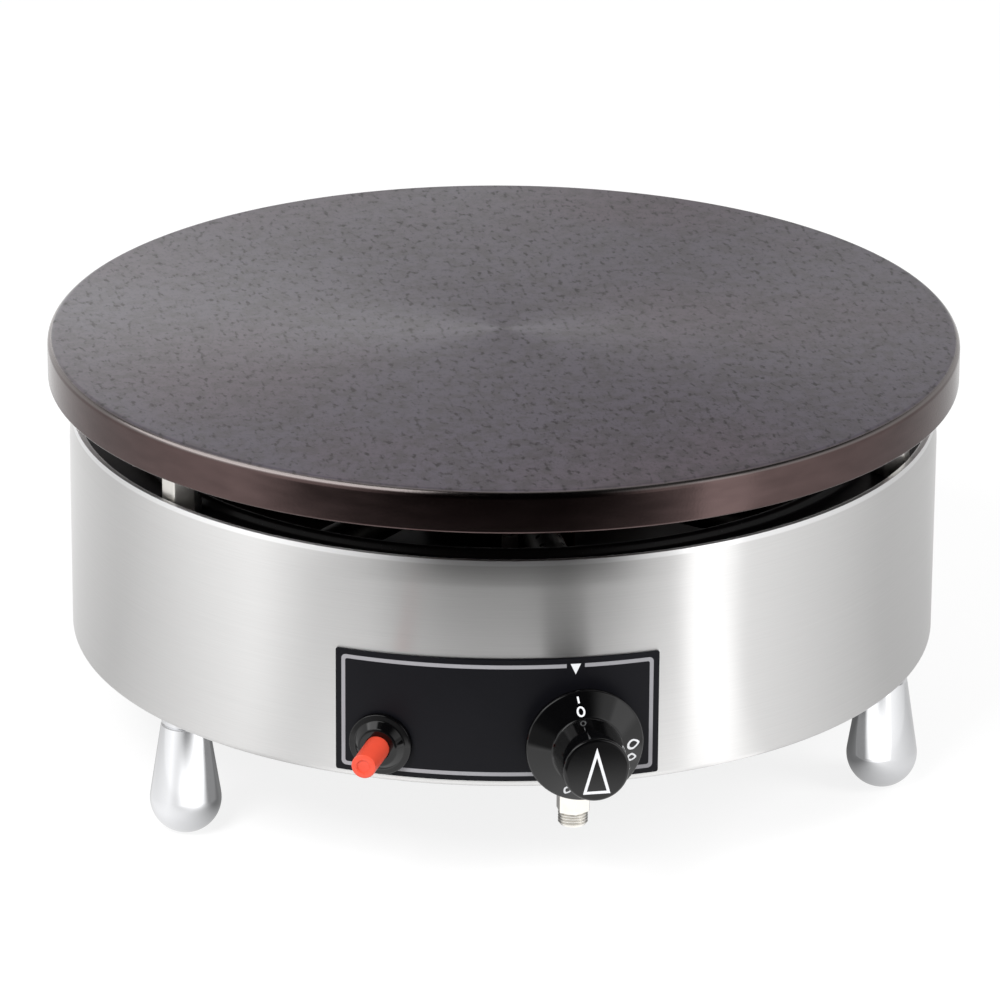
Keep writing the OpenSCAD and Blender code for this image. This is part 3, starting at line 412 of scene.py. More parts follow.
class Nodes:
    """The node tree of one finish, or of the world."""

    def __init__(self, tree):
        self.tree = tree
        tree.nodes.clear()

    def node(self, kind, settings=None, output="", **sockets):
        """Adds a node, sets it up, then gives its sockets values or links."""
        made = self.tree.nodes.new(kind)
        for key, setting in (settings or {}).items():
            if key == "stops":
                self.set_stops(made.color_ramp.elements, setting)
            else:
                setattr(made, key, setting)
        for key, given in sockets.items():
            socket = self.socket_named(made.inputs, key)
            if isinstance(given, Value):
                self.tree.links.new(given.socket, socket)
            else:
                socket.default_value = given
        return Value(self, self.socket_named(made.outputs, output)) if made.outputs else None

    @staticmethod
    def socket_named(sockets, key):
        """The socket with an identifier, or a name written with underscores, or without a key the first."""
        for socket in sockets:
            if not key or key in (socket.identifier, socket.name.replace(" ", "_")):
                return socket
        raise KeyError(f"no socket is named {key}")

    @staticmethod
    def set_stops(elements, stops):
        """Gives a ramp its stops, each a position and a grey level."""
        while len(elements) < len(stops):
            elements.new(1.0)
        for element, (position, level) in zip(elements, stops):
            element.position = position
            element.color = (level, level, level, 1.0)

    def maths(self, operation, first, second=0.0):
        """One Math node."""
        return self.node("ShaderNodeMath", {"operation": operation}, Value=first, Value_001=second)

    def place(self):
        """Object coordinates, in metres."""
        return self.node("ShaderNodeTexCoord", output="Object")

    def axes(self):
        """Object coordinates as three values."""
        place = self.place()
        return [self.node("ShaderNodeSeparateXYZ", output=axis, Vector=place) for axis in "XYZ"]

    def noise(self, scale, detail=2.0, roughness=0.5, stretch=(1.0, 1.0, 1.0)):
        """Soft noise from 0 to 1, with so many features in a metre, stretched along the axes."""
        place = self.node("ShaderNodeMapping", Vector=self.place(), Scale=stretch)
        return self.node(
            "ShaderNodeTexNoise",
            output="Fac",
            Vector=place,
            Scale=scale,
            Detail=detail,
            Roughness=roughness,
        )

    def rise(self, value, start, end):
        """0 before start and 1 after end, with a soft step between them."""
        soft = {"interpolation_type": "SMOOTHSTEP"}
        return self.node("ShaderNodeMapRange", soft, Value=value, From_Min=start, From_Max=end)

    def blend(self, factor, low, high):
        """A colour between two colours."""
        return self.node(
            "ShaderNodeMix",
            {"data_type": "RGBA"},
            output="Result_Color",
            Factor_Float=factor,
            A_Color=self.opaque(low),
            B_Color=self.opaque(high),
        )

    @staticmethod
    def opaque(shade):
        """A colour with its alpha, or a link as it is."""
        return shade if isinstance(shade, Value) else (*shade, 1.0)

    def bump(self, height, distance, strength):
        """A normal bent by a height in parts of a distance."""
        return self.node("ShaderNodeBump", Height=height, Distance=distance, Strength=strength)

    def surface(self, **sockets):
        """The shader and the output of a finish."""
        shader = self.node("ShaderNodeBsdfPrincipled", **sockets)
        self.node("ShaderNodeOutputMaterial", Surface=shader)


def new_finish(name):
    """A new material and its nodes."""
    material = bpy.data.materials.new(name)
    material.use_nodes = True
    return material, Nodes(material.node_tree)


def scaled(shade, factor):
    """A colour made darker or lighter."""
    return tuple(min(1.0, part * factor) for part in shade)


def plate_finish(name, griddle):
    """Cast iron ground in rings: a grey pitted face, and a browned rim whose upper edge is paler, rubbed bare and
    also painted to lighten its highlight.
    """
    material, nodes = new_finish(name)
    z = nodes.axes()[2]
    face = nodes.rise(z, *FACE_BORDER)
    coarse = nodes.noise(380.0, detail=2.0, roughness=0.5, stretch=(1.0, 0.45, 1.0))
    fine = nodes.noise(900.0, detail=2.0, roughness=0.6, stretch=(1.0, 0.5, 1.0))
    mottle = nodes.noise(150.0, detail=4.0, roughness=0.65)
    cloud = nodes.noise(7.0, detail=3.0, roughness=0.55)
    pits = nodes.rise(coarse, 0.53, 0.74) * 0.95 + nodes.rise(fine, 0.50, 0.75) * 0.35
    ground = nodes.blend(nodes.rise(cloud, 0.38, 0.66), tuple(griddle.top), tuple(griddle.warm))
    even = 0.3 + 0.7 * nodes.rise(mottle, 0.36, 0.60)
    uneven = nodes.blend(even, scaled(griddle.pits, 1.6), ground)
    pitted = nodes.blend(pits, uneven, tuple(griddle.pits))
    streak = nodes.noise(60.0, detail=2.0, roughness=0.5, stretch=(1.0, 1.0, 4.0))
    brown = nodes.blend(streak, scaled(griddle.rim, 0.75), scaled(griddle.rim, 1.25))
    # The upper edge takes the paler colour: partly wear, partly a painted highlight.
    wear_and_highlight = nodes.rise(z, *WEAR_AND_HIGHLIGHT_BORDER)
    side = nodes.blend(wear_and_highlight * 0.8, brown, tuple(griddle.wear_and_highlight))
    rough_face = 0.40 + 0.10 * cloud + 0.10 * pits
    rough_rim = 0.15 + 0.06 * streak
    height = fine * 0.35 - pits * face
    nodes.surface(
        Base_Color=nodes.blend(face, side, pitted),
        Roughness=face * rough_face + (1 - face) * rough_rim,
        Metallic=1 - face,
        Anisotropic=0.5,
        Anisotropic_Rotation=0.25,
        Normal=nodes.bump(height, distance=0.00012, strength=0.6),
    )
    return material


def drum_finish(name, drum):
    """Stainless steel brushed round the drum, with a paler band along its upper edge as a painted highlight."""
    material, nodes = new_finish(name)
    brush = nodes.noise(1.0, detail=3.0, roughness=0.65, stretch=(18.0, 18.0, 2600.0))
    hair = nodes.noise(1.0, detail=2.0, roughness=0.6, stretch=(90.0, 90.0, 7000.0))
    cloud = nodes.noise(9.0, detail=2.0, roughness=0.5)
    streak = 0.6 * brush + 0.4 * hair
    brushed = nodes.blend(streak, scaled(drum.steel, 0.90), scaled(drum.steel, 1.10))
    # Painted highlight: the top of the drum takes the paler lip colour.
    lip = nodes.rise(nodes.axes()[2], *LIP_HIGHLIGHT_BORDER)
    nodes.surface(
        Base_Color=nodes.blend(lip, brushed, tuple(drum.lip)),
        Roughness=0.26 + 0.06 * streak + 0.04 * cloud,
        Metallic=1.0,
        Anisotropic=1.0,
        Anisotropic_Rotation=0.25,
        Normal=nodes.bump(streak, distance=0.00002, strength=0.5),
    )
    return material


def enamel_finish(name, bowl):
    """Black enamel with orange peel and small lights."""
    material, nodes = new_finish(name)
    peel = nodes.noise(420.0, detail=2.0, roughness=0.5)
    cloud = nodes.noise(35.0, detail=3.0, roughness=0.6)
    speck = nodes.rise(nodes.noise(1500.0, detail=1.0), 0.70, 0.78)
    dark = nodes.blend(cloud, scaled(bowl.enamel, 0.7), scaled(bowl.enamel, 1.4))
    nodes.surface(
        Base_Color=nodes.blend(speck * 0.5, dark, tuple(bowl.speck)),
        Roughness=0.26 + 0.16 * cloud,
        Specular_IOR_Level=0.15,
        Normal=nodes.bump(peel, distance=0.00006, strength=0.5),
    )
    return material


def lacquer_finish(name, panel):
    """Satin black lacquer with a fine texture."""
    material, nodes = new_finish(name)
    grain = nodes.noise(2600.0, detail=2.0, roughness=0.6)
    cloud = nodes.noise(40.0, detail=2.0, roughness=0.5)
    nodes.surface(
        Base_Color=nodes.blend(cloud, scaled(panel.black, 0.85), scaled(panel.black, 1.2)),
        Roughness=0.34 + 0.10 * cloud + 0.06 * grain,
        Specular_IOR_Level=0.12,
        Normal=nodes.bump(grain, distance=0.00002, strength=0.5),
    )
    return material


def print_finish(name, shade):
    """Printed ink: a little uneven, with small pores."""
    material, nodes = new_finish(name)
    pore = nodes.noise(2400.0, detail=2.0, roughness=0.6)
    cloud = nodes.noise(120.0, detail=2.0, roughness=0.5)
    nodes.surface(
        Base_Color=nodes.blend(0.5 * pore + 0.5 * cloud, scaled(shade, 0.88), scaled(shade, 1.12)),
        Roughness=0.42 + 0.12 * cloud,
        Normal=nodes.bump(pore, distance=0.00001, strength=0.5),
    )
    return material


def plastic_finish(name, shade, gloss, rub):
    """Moulded plastic: flow marks, a soft skin and rubbed places."""
    material, nodes = new_finish(name)
    skin = nodes.noise(900.0, detail=2.0, roughness=0.55)
    flow = nodes.noise(45.0, detail=3.0, roughness=0.6)
    rubbed = nodes.rise(nodes.noise(210.0, detail=3.0, roughness=0.6), 0.58, 0.72)
    nodes.surface(
        Base_Color=nodes.blend(flow, scaled(shade, 0.84), scaled(shade, 1.14)),
        Roughness=gloss + rub * (0.4 * flow + 0.6 * rubbed),
        Specular_IOR_Level=0.36,
        Normal=nodes.bump(skin, distance=0.00001, strength=0.25),
    )
    return material


def metal_finish(name, shade, gloss, spread, grain, depth, stained):
    """Bare or plated metal: uneven tone, uneven gloss and a fine grain."""
    material, nodes = new_finish(name)
    fine = nodes.noise(grain, detail=3.0, roughness=0.6)
    cloud = nodes.noise(grain / 18, detail=3.0, roughness=0.55)
    stain = nodes.rise(nodes.noise(grain / 7, detail=2.0, roughness=0.6), 0.56, 0.74)
    tone = nodes.blend(0.5 * fine + 0.5 * cloud, scaled(shade, 1 - spread), scaled(shade, 1 + spread))
    nodes.surface(
        Base_Color=nodes.blend(stain * stained, tone, scaled(shade, 0.62)),
        Roughness=gloss * (0.6 + 0.6 * cloud + stained * stain),
        Metallic=1.0,
        Normal=nodes.bump(fine, distance=depth, strength=0.5),
    )
    return material


def rough_finish(name, shade, gloss, grain, depth):
    """Unpolished stuff, such as raw castings, ceramic and rubber."""
    material, nodes = new_finish(name)
    fine = nodes.noise(grain, detail=4.0, roughness=0.65)
    cloud = nodes.noise(grain / 22, detail=3.0, roughness=0.55)
    nodes.surface(
        Base_Color=nodes.blend(0.55 * cloud + 0.45 * fine, scaled(shade, 0.68), scaled(shade, 1.32)),
        Roughness=gloss + 0.18 * cloud,
        Normal=nodes.bump(fine, distance=depth, strength=0.7),
    )
    return material


# Metals: colour, roughness, spread of tone, grains in a metre, depth of the grain, strength of stains.
METALS = {
    "galvanised": ((0.56, 0.57, 0.58), 0.34, 0.16, 160.0, 0.00004, 0.35),
    # The burner's steel is darkened almost to black: painted shade for the burner inside the bowl under the plate.
    "burner_steel": ((0.035, 0.033, 0.031), 0.50, 0.20, 700.0, 0.00004, 0.35),
    "brass": ((0.72, 0.50, 0.20), 0.24, 0.08, 900.0, 0.00002, 0.35),
    "copper": ((0.72, 0.36, 0.22), 0.26, 0.10, 800.0, 0.00002, 0.35),
    "spring_steel": ((0.40, 0.40, 0.42), 0.28, 0.10, 1200.0, 0.00002, 0.35),
}

# The same of plated and polished pieces, whose colour is a setting of the stand.
PLATED = {
    "polished_aluminium": ("foot", 0.10, 0.02, 900.0, 0.000003, 0.04),
    "nickel": ("post", 0.32, 0.05, 1100.0, 0.000004, 0.10),
}

# Unpolished stuff: colour, roughness, grains in a metre, depth of the grain.
ROUGH_STUFF = {
    # The burner's iron and its insulator are darker than the bare stuff: painted shade for the parts inside the
    # bowl under the plate.
    "burner_iron": ((0.016, 0.015, 0.014), 0.60, 650.0, 0.0003),
    # The insulator is white ceramic; this dark colour is painted shade.
    "ceramic": ((0.10, 0.09, 0.08), 0.40, 800.0, 0.00003),
    "silicone": ((0.30, 0.035, 0.022), 0.48, 900.0, 0.00004),
}


def finish(slot):
    """The material of a slot or a print, made when it is first asked for."""
    name = f"{slot}.finish"
    made = bpy.data.materials.get(name)
    if made:
        return made
    maker = bpy.context.scene.crepe_maker
    if slot in METALS:
        return metal_finish(name, *METALS[slot])
    if slot in PLATED:
        setting, *look = PLATED[slot]
        return metal_finish(name, getattr(maker.stand, setting), *look)
    if slot in ROUGH_STUFF:
        return rough_finish(name, *ROUGH_STUFF[slot])
    makers = {
        "griddle_iron": lambda: plate_finish(name, maker.griddle),
        "stainless": lambda: drum_finish(name, maker.drum),
        "black_enamel": lambda: enamel_finish(name, maker.bowl),
        "panel_black": lambda: lacquer_finish(name, maker.panel),
        "silver_print": lambda: print_finish(name, maker.panel.silver),
        "white_print": lambda: print_finish(name, maker.knob.white),
        "black_plastic": lambda: plastic_finish(name, maker.knob.black, gloss=0.05, rub=0.07),
        "red_plastic": lambda: plastic_finish(name, maker.igniter.red, gloss=0.26, rub=0.14),
    }
    return makers[slot]()


def turned(corners, steps, closed=False):
    """Spins a half-section round Z. A corner is a radius, a height and how far its rounding reaches."""
    shape = bmesh.new()
    points = [shape.verts.new((radius, 0.0, height)) for radius, height, _ in corners]
    for start, end in zip(points, points[1:]):
        shape.edges.new((start, end))
    if closed:
        shape.edges.new((points[-1], points[0]))
    for point, (_, _, rounding) in zip(points, corners):
        if rounding:
            bmesh.ops.bevel(
                shape,
                geom=[point],
                offset=rounding,
                offset_type="OFFSET",
                segments=ROUNDING_STEPS,
                profile=0.5,
                affect="VERTICES",
                material=-1,
            )
    bmesh.ops.spin(
        shape,
        geom=shape.verts[:] + shape.edges[:],
        cent=(0.0, 0.0, 0.0),
        axis=(0.0, 0.0, 1.0),
        angle=FULL_TURN,
        steps=steps,
        use_merge=True,
    )
    bmesh.ops.remove_doubles(shape, verts=shape.verts[:], dist=MERGE)
    bmesh.ops.recalc_face_normals(shape, faces=shape.faces[:])
    return shape


def rod(radius, low, high, sides=48, tip=None):
    """A round or many-sided bar along Z with a corner on +X. A tip is its radius at the low end."""
    shape = bmesh.new()
    bmesh.ops.create_cone(
        shape,
        cap_ends=True,
        segments=sides,
        radius1=radius if tip is None else tip,
        radius2=radius,
        depth=high - low,
        matrix=Matrix.Translation((0.0, 0.0, (low + high) / 2)) @ Matrix.Rotation(-math.pi / 2, 4, "Z"),
    )
    return shape


def block(width, depth, height, centre=(0.0, 0.0, 0.0)):
    """A rectangular block."""
    shape = bmesh.new()
    place = Matrix.Translation(centre) @ Matrix.Diagonal((width, depth, height, 1.0))
    bmesh.ops.create_cube(shape, size=1.0, matrix=place)
    return shape


def chamfer(shape, edges, reach, segments):
    """Bevels some edges of a shape."""
    bmesh.ops.bevel(
        shape,
        geom=edges,
        offset=reach,
        offset_type="OFFSET",
        segments=segments,
        profile=0.5,
        affect="EDGES",
        material=-1,
    )
    return shape


def rounded_plate(width, height, thickness, corner):
    """A flat plate in X and Y with rounded corners."""
    shape = block(width, height, thickness)
    upright = []
    for edge in shape.edges:
        if abs(edge.verts[0].co.z - edge.verts[1].co.z) > thickness / 2:
            upright.append(edge)
    return chamfer(shape, upright, corner, CORNER_STEPS)


def triangle(width, height, thickness):
    """A flat triangle in X and Y, centred, with its point towards +Y."""
    shape = moved(rod(1.0, -thickness, thickness, sides=3), Matrix.Rotation(math.pi / 2, 4, "Z"))
    moved(shape, Matrix.Translation((0.0, TRIANGLE_HEIGHT / 2 - 1.0, 0.0)))
    return moved(shape, Matrix.Diagonal((width / TRIANGLE_WIDTH, height / TRIANGLE_HEIGHT, 1.0, 1.0)))


def moved(shape, matrix):
    """Puts a shape in its place."""
    bmesh.ops.transform(shape, matrix=matrix, verts=shape.verts[:])
    return shape


def combined(operation, base, *tools):
    """The base shape after a Boolean with each tool shape."""
    blanks = []
    for shape in (base, *tools):
        mesh = bpy.data.meshes.new("blank")
        shape.to_mesh(mesh)
        shape.free()
        blank = bpy.data.objects.new("blank", mesh)
        bpy.context.scene.collection.objects.link(blank)
        blanks.append(blank)
    for tool in blanks[1:]:
        step = blanks[0].modifiers.new("step", "BOOLEAN")
        step.operation = operation
        step.solver = "EXACT"
        step.object = tool
    result = bmesh.new()
    result.from_object(blanks[0], bpy.context.evaluated_depsgraph_get())
    for blank in blanks:
        bpy.data.meshes.remove(blank.data)
    return result


def in_strips(shape, width, strips):
    """Cuts a flat shape across X, so that it can bend."""
    for i in range(1, strips):
        bmesh.ops.bisect_plane(
            shape,
            geom=shape.verts[:] + shape.edges[:] + shape.faces[:],
            plane_co=(width * (i / strips - 0.5), 0.0, 0.0),
            plane_no=(1.0, 0.0, 0.0),
        )
    return shape


def bent_round(shape, bearing, radius, level, lean=0.0):
    """Lays a flat shape on a drum or a cone round Z, at a bearing from -Y.

    Its Y runs along the wall, outwards by the lean, and its Z off the wall.
    """
    out, up = math.sin(lean), math.cos(lean)
    for vert in shape.verts:
        across, along, off = vert.co
        turn = bearing + across / (radius + along * out)
        reach = radius + along * out + off * up
        vert.co = (reach * math.sin(turn), -reach * math.cos(turn), level + along * up - off * out)
    bmesh.ops.recalc_face_normals(shape, faces=shape.faces[:])
    return shape


def outwards(level, bearing=0.0):
    """Turns Z into the direction that leaves the drum at a level and a bearing."""
    return (
        Matrix.Translation((0.0, 0.0, level))
        @ Matrix.Rotation(bearing, 4, "Z")
        @ Matrix.Rotation(math.pi / 2, 4, "X")
    )


def on_column(side):
    """Place and turn of a foot or a post, without its height."""
    middle = middle_of(f"foot_{side}")
    turn = Matrix.Rotation(bearing_of(middle), 4, "Z")
    return Matrix.Translation((middle.x, middle.y, 0.0)) @ turn


def keep(name, shape, material, body, *nodes):
    """Makes a shape a piece with the given finish that rides on a body, and hides the nodes that it stands for."""
    mesh = bpy.data.meshes.new(name)
    shape.to_mesh(mesh)
    shape.free()
    mesh.shade_smooth()
    mesh.set_sharp_from_angle(angle=SHARP)
    mesh.materials.append(finish(material))
    piece = bpy.data.objects.new(name, mesh)
    bpy.context.scene.collection.objects.link(piece)
    even = piece.modifiers.new("even_shading", "WEIGHTED_NORMAL")
    even.keep_sharp = True
    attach(piece, body)
    if nodes:
        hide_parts(*nodes)
    return piece


class CREPE_OT_griddle(bpy.types.Operator):
    """Casts the griddle plate with its rim, bosses, sockets and lugs"""

    bl_idname = "crepe.griddle"
    bl_label = "Griddle plate"

    def execute(self, context):
        size = context.scene.crepe_maker.griddle
        face = PLATE_TOP - size.thickness
        foot = PLATE_TOP - size.rim_height
        inside = size.radius - size.rim_width
        corners = [
            (0.0, face, 0.0),
            (inside - size.rim_draft, face, size.cast_edge),
            (inside, foot, size.inner_edge),
            (size.radius, foot, size.cast_edge),
            (size.radius, PLATE_TOP, size.edge),
            (0.0, PLATE_TOP, 0.0),
        ]
        plate = turned(corners, steps=192)
        bosses = []
        lugs = []
        sockets = []
        for side in SIDES:
            column = on_column(side)
            turn = Matrix.Rotation(bearing_of(middle_of(f"foot_{side}")) + size.lug_turn, 4, "Z")
            reach = Matrix.Translation((0.0, size.rim_width / 2 - size.radius, 0.0))
            lug = rod(size.lug_radius, foot - size.lug_drop, foot + OVERLAP / 2, sides=32, tip=size.lug_tip)
            bosses.append(moved(rod(size.boss_radius, foot, face + OVERLAP), column))
            lugs.append(moved(lug, turn @ reach))
            sockets.append(moved(rod(size.socket_radius, foot - OVERLAP, foot + size.socket_depth), column))
        cast = combined("UNION", plate, *bosses, *lugs)
        cast = combined("DIFFERENCE", cast, *sockets)
        keep("griddle", cast, "griddle_iron", "griddle", "griddle_plate")
        return {"FINISHED"}


class CREPE_OT_drum(bpy.types.Operator):
    """Rolls the steel drum with its flange and its hemmed edge"""

    bl_idname = "crepe.drum"
    bl_label = "Drum"

    def execute(self, context):
        size = context.scene.crepe_maker.drum
        inner = DRUM_RADIUS - size.sheet
        roll = DRUM_RADIUS - 2 * size.hem
        flange = DRUM_RADIUS - size.flange
        hem_in = size.hem - size.sheet
        corners = [
            (flange, DRUM_FOOT, 0.0),
            (DRUM_RADIUS, DRUM_FOOT, size.corner),
            (DRUM_RADIUS, DRUM_TOP - size.lean_drop, size.lean_drop),
            (DRUM_RADIUS - size.lean, DRUM_TOP, size.hem_edge),
            (roll, DRUM_TOP, size.hem_edge),
            (roll, DRUM_TOP - size.hem_drop, 0.0),
            (roll + size.sheet, DRUM_TOP - size.hem_drop, 0.0),
            (roll + size.sheet, DRUM_TOP - size.sheet, hem_in),
            (inner, DRUM_TOP - size.sheet, hem_in),
            (inner, DRUM_FOOT + size.sheet, size.corner - size.sheet),
            (flange, DRUM_FOOT + size.sheet, 0.0),
        ]
        shell = turned(corners, steps=192, closed=True)
        inlet = middle_of("gas_inlet")
        inlet_place = Matrix.Translation((inlet.x, inlet.y, 0.0))
        holes = []
        for place in (outwards(KNOB_LEVEL), outwards(IGNITER_LEVEL, IGNITER_BEARING)):
            holes.append(moved(rod(size.hole, inner - CLEAR, DRUM_RADIUS + CLEAR), place))
        holes.append(moved(rod(size.inlet_hole, DRUM_FOOT - CLEAR, DRUM_FOOT + CLEAR), inlet_place))
        shell = combined("DIFFERENCE", shell, *holes)
        keep("drum", shell, "stainless", CHASSIS, "body_shell")
        return {"FINISHED"}


class CREPE_OT_bowl(bpy.types.Operator):
    """Presses the enamelled bowl round the burner"""

    bl_idname = "crepe.bowl"
    bl_label = "Burner bowl"

    def execute(self, context):
        size = context.scene.crepe_maker.bowl
        outer = high_of("burner_bowl").x
        deck_in = outer - size.deck_width
        bead_out = deck_in - size.bead / 2
        bead_in = bead_out - size.bead_width
        floor = DECK - size.depth
        wall = size.sheet
        corners = [
            (outer, DECK - size.lip, 0.0),
            (outer, DECK, size.deck_edge),
            (deck_in, DECK, size.fold),
            (bead_out, DECK + size.bead, size.bead_edge),
            (bead_in, DECK + size.bead, size.bead_edge),
            (size.floor_radius, floor, size.floor_edge),
            (size.throat_radius, floor, size.throat_edge),
            (size.throat_radius, floor + size.throat_lip, 0.0),
            (size.throat_radius + wall, floor + size.throat_lip, 0.0),
            (size.throat_radius + wall, floor - wall, size.fold),
            (size.floor_radius + wall / 2, floor - wall, size.floor_edge),
            (bead_in + wall / 2, DECK + size.bead - wall, size.inner_edge),
            (bead_out - wall / 2, DECK + size.bead - wall, size.inner_edge),
            (deck_in - wall / 2, DECK - wall, size.fold),
            (outer - wall, DECK - wall, size.inner_edge),
            (outer - wall, DECK - size.lip, 0.0),
        ]
        bowl = turned(corners, steps=160, closed=True)
        keep("bowl", bowl, "black_enamel", CHASSIS, "burner_bowl")
        return {"FINISHED"}


class CREPE_OT_feet(bpy.types.Operator):
    """Turns the three drop-shaped feet"""

    bl_idname = "crepe.feet"
    bl_label = "Feet"

    def execute(self, context):
        size = context.scene.crepe_maker.stand
        top = high_of("foot_left").z
        middle = math.sqrt(size.bulb_radius**2 - size.pad_radius**2)
        seam = top - size.collar
        reach = math.hypot(size.neck_radius, top - middle)
        start = -math.asin(middle / size.bulb_radius)
        leave = math.atan2(top - middle, size.neck_radius) - math.acos(size.bulb_radius / reach)
        steps = 28
        bulb = []
        for i in range(1, steps + 1):
            turn = start + (leave - start) * i / steps
            bulb.append((size.bulb_radius * math.cos(turn), middle + size.bulb_radius * math.sin(turn), 0.0))
        corners = [
            (0.0, 0.0, 0.0),
            (size.pad_radius, 0.0, 0.0),
            *bulb,
            (size.neck_radius + size.groove_depth / 2, seam - size.groove_depth, 0.0),
            (size.neck_radius - size.groove_depth, seam, 0.0),
            (size.neck_radius, seam + size.groove_depth, 0.0),
            (size.neck_radius, top, size.neck_edge),
            (0.0, top, 0.0),
        ]
        for side in SIDES:
            foot = moved(turned(corners, steps=64), on_column(side))
            keep(f"foot.{side}", foot, "polished_aluminium", CHASSIS, f"foot_{side}")
        return {"FINISHED"}


class CREPE_OT_posts(bpy.types.Operator):
    """Mills the three hexagonal posts with their pins"""

    bl_idname = "crepe.posts"
    bl_label = "Posts"

    def execute(self, context):
        size = context.scene.crepe_maker.stand
        head = DECK + size.post_height
        root = head - 2 * OVERLAP
        tip = high_of("post_left").z
        corners = [
            (0.0, root, 0.0),
            (size.pin_radius, root, 0.0),
            (size.pin_radius, tip, size.pin_edge),
            (0.0, tip, 0.0),
        ]
        for side in SIDES:
            bar = rod(size.post_width / math.sqrt(3), DECK, head, sides=6)
            chamfer(bar, bar.edges[:], size.post_edge, segments=2)
            post = moved(combined("UNION", bar, turned(corners, steps=40)), on_column(side))
            keep(f"post.{side}", post, "nickel", CHASSIS, f"post_{side}")
        return {"FINISHED"}


class CREPE_OT_panel(bpy.types.Operator):
    """Bends the control panel round the drum and prints its border line"""

    bl_idname = "crepe.panel"
    bl_label = "Control panel"

    def execute(self, context):
        size = context.scene.crepe_maker.panel
        hole = context.scene.crepe_maker.drum.hole
        low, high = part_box("control_panel")
        middle = (low.z + high.z) / 2
        first = math.asin(low.x / PANEL_FACE)
        last = math.asin(high.x / PANEL_FACE)
        bearing = (first + last) / 2
        back = PANEL_FACE - size.thickness
        plate = rounded_plate(size.width, size.height, size.thickness, size.corner)
        rim = [
            edge
            for edge in plate.edges
            if min(edge.verts[0].co.z, edge.verts[1].co.z) > 0 and not edge.is_boundary
        ]
        chamfer(plate, rim, size.edge, segments=2)
        places = (
            (-bearing * back, KNOB_LEVEL - middle, 0.0),
            ((IGNITER_BEARING - bearing) * back, IGNITER_LEVEL - middle, 0.0),
        )
        holes = [moved(rod(hole, -CLEAR, CLEAR), Matrix.Translation(place)) for place in places]
        plate = combined("DIFFERENCE", plate, *holes)
        moved(plate, Matrix.Translation((0.0, 0.0, size.thickness / 2)))
        plate = bent_round(in_strips(plate, size.width, BEND_STRIPS), bearing, back, middle)
        keep("panel", plate, "panel_black", CHASSIS, "control_panel")

        width = size.width - 2 * size.line_inset
        height = size.height - 2 * size.line_inset
        stroke = 2 * size.line_width
        thickness = 2 * size.print_height
        through = 4 * thickness
        gap_height = 6 * size.line_width
        gap_middle = (size.pointer_turn - bearing) * PANEL_FACE
        outer = rounded_plate(width, height, thickness, size.line_corner)
        inner = rounded_plate(width - stroke, height - stroke, through, size.line_inside)
        gap = block(size.line_gap, gap_height, through, (gap_middle, height / 2, 0.0))
        line = combined("DIFFERENCE", outer, inner, gap)
        line = bent_round(in_strips(line, size.width, BEND_STRIPS), bearing, PANEL_FACE, middle)
        keep("panel_line", line, "silver_print", CHASSIS)

        pointer = triangle(size.pointer_width, size.pointer_height, size.print_height)
        moved(pointer, Matrix.Rotation(math.pi, 4, "Z"))
        moved(pointer, Matrix.Translation((0.0, (height - size.pointer_height) / 2, 0.0)))
        halves = in_strips(pointer, size.pointer_width, 2)
        pointer = bent_round(halves, size.pointer_turn, PANEL_FACE, middle)
        keep("panel_pointer", pointer, "white_print", CHASSIS)
        return {"FINISHED"}


# The flames on the dial: turn from the top in degrees, clockwise, and height.
FLAMES = ((88, 0.0070), (105, 0.0056), (121, 0.0046), (190, 0.0046), (203, 0.0056))


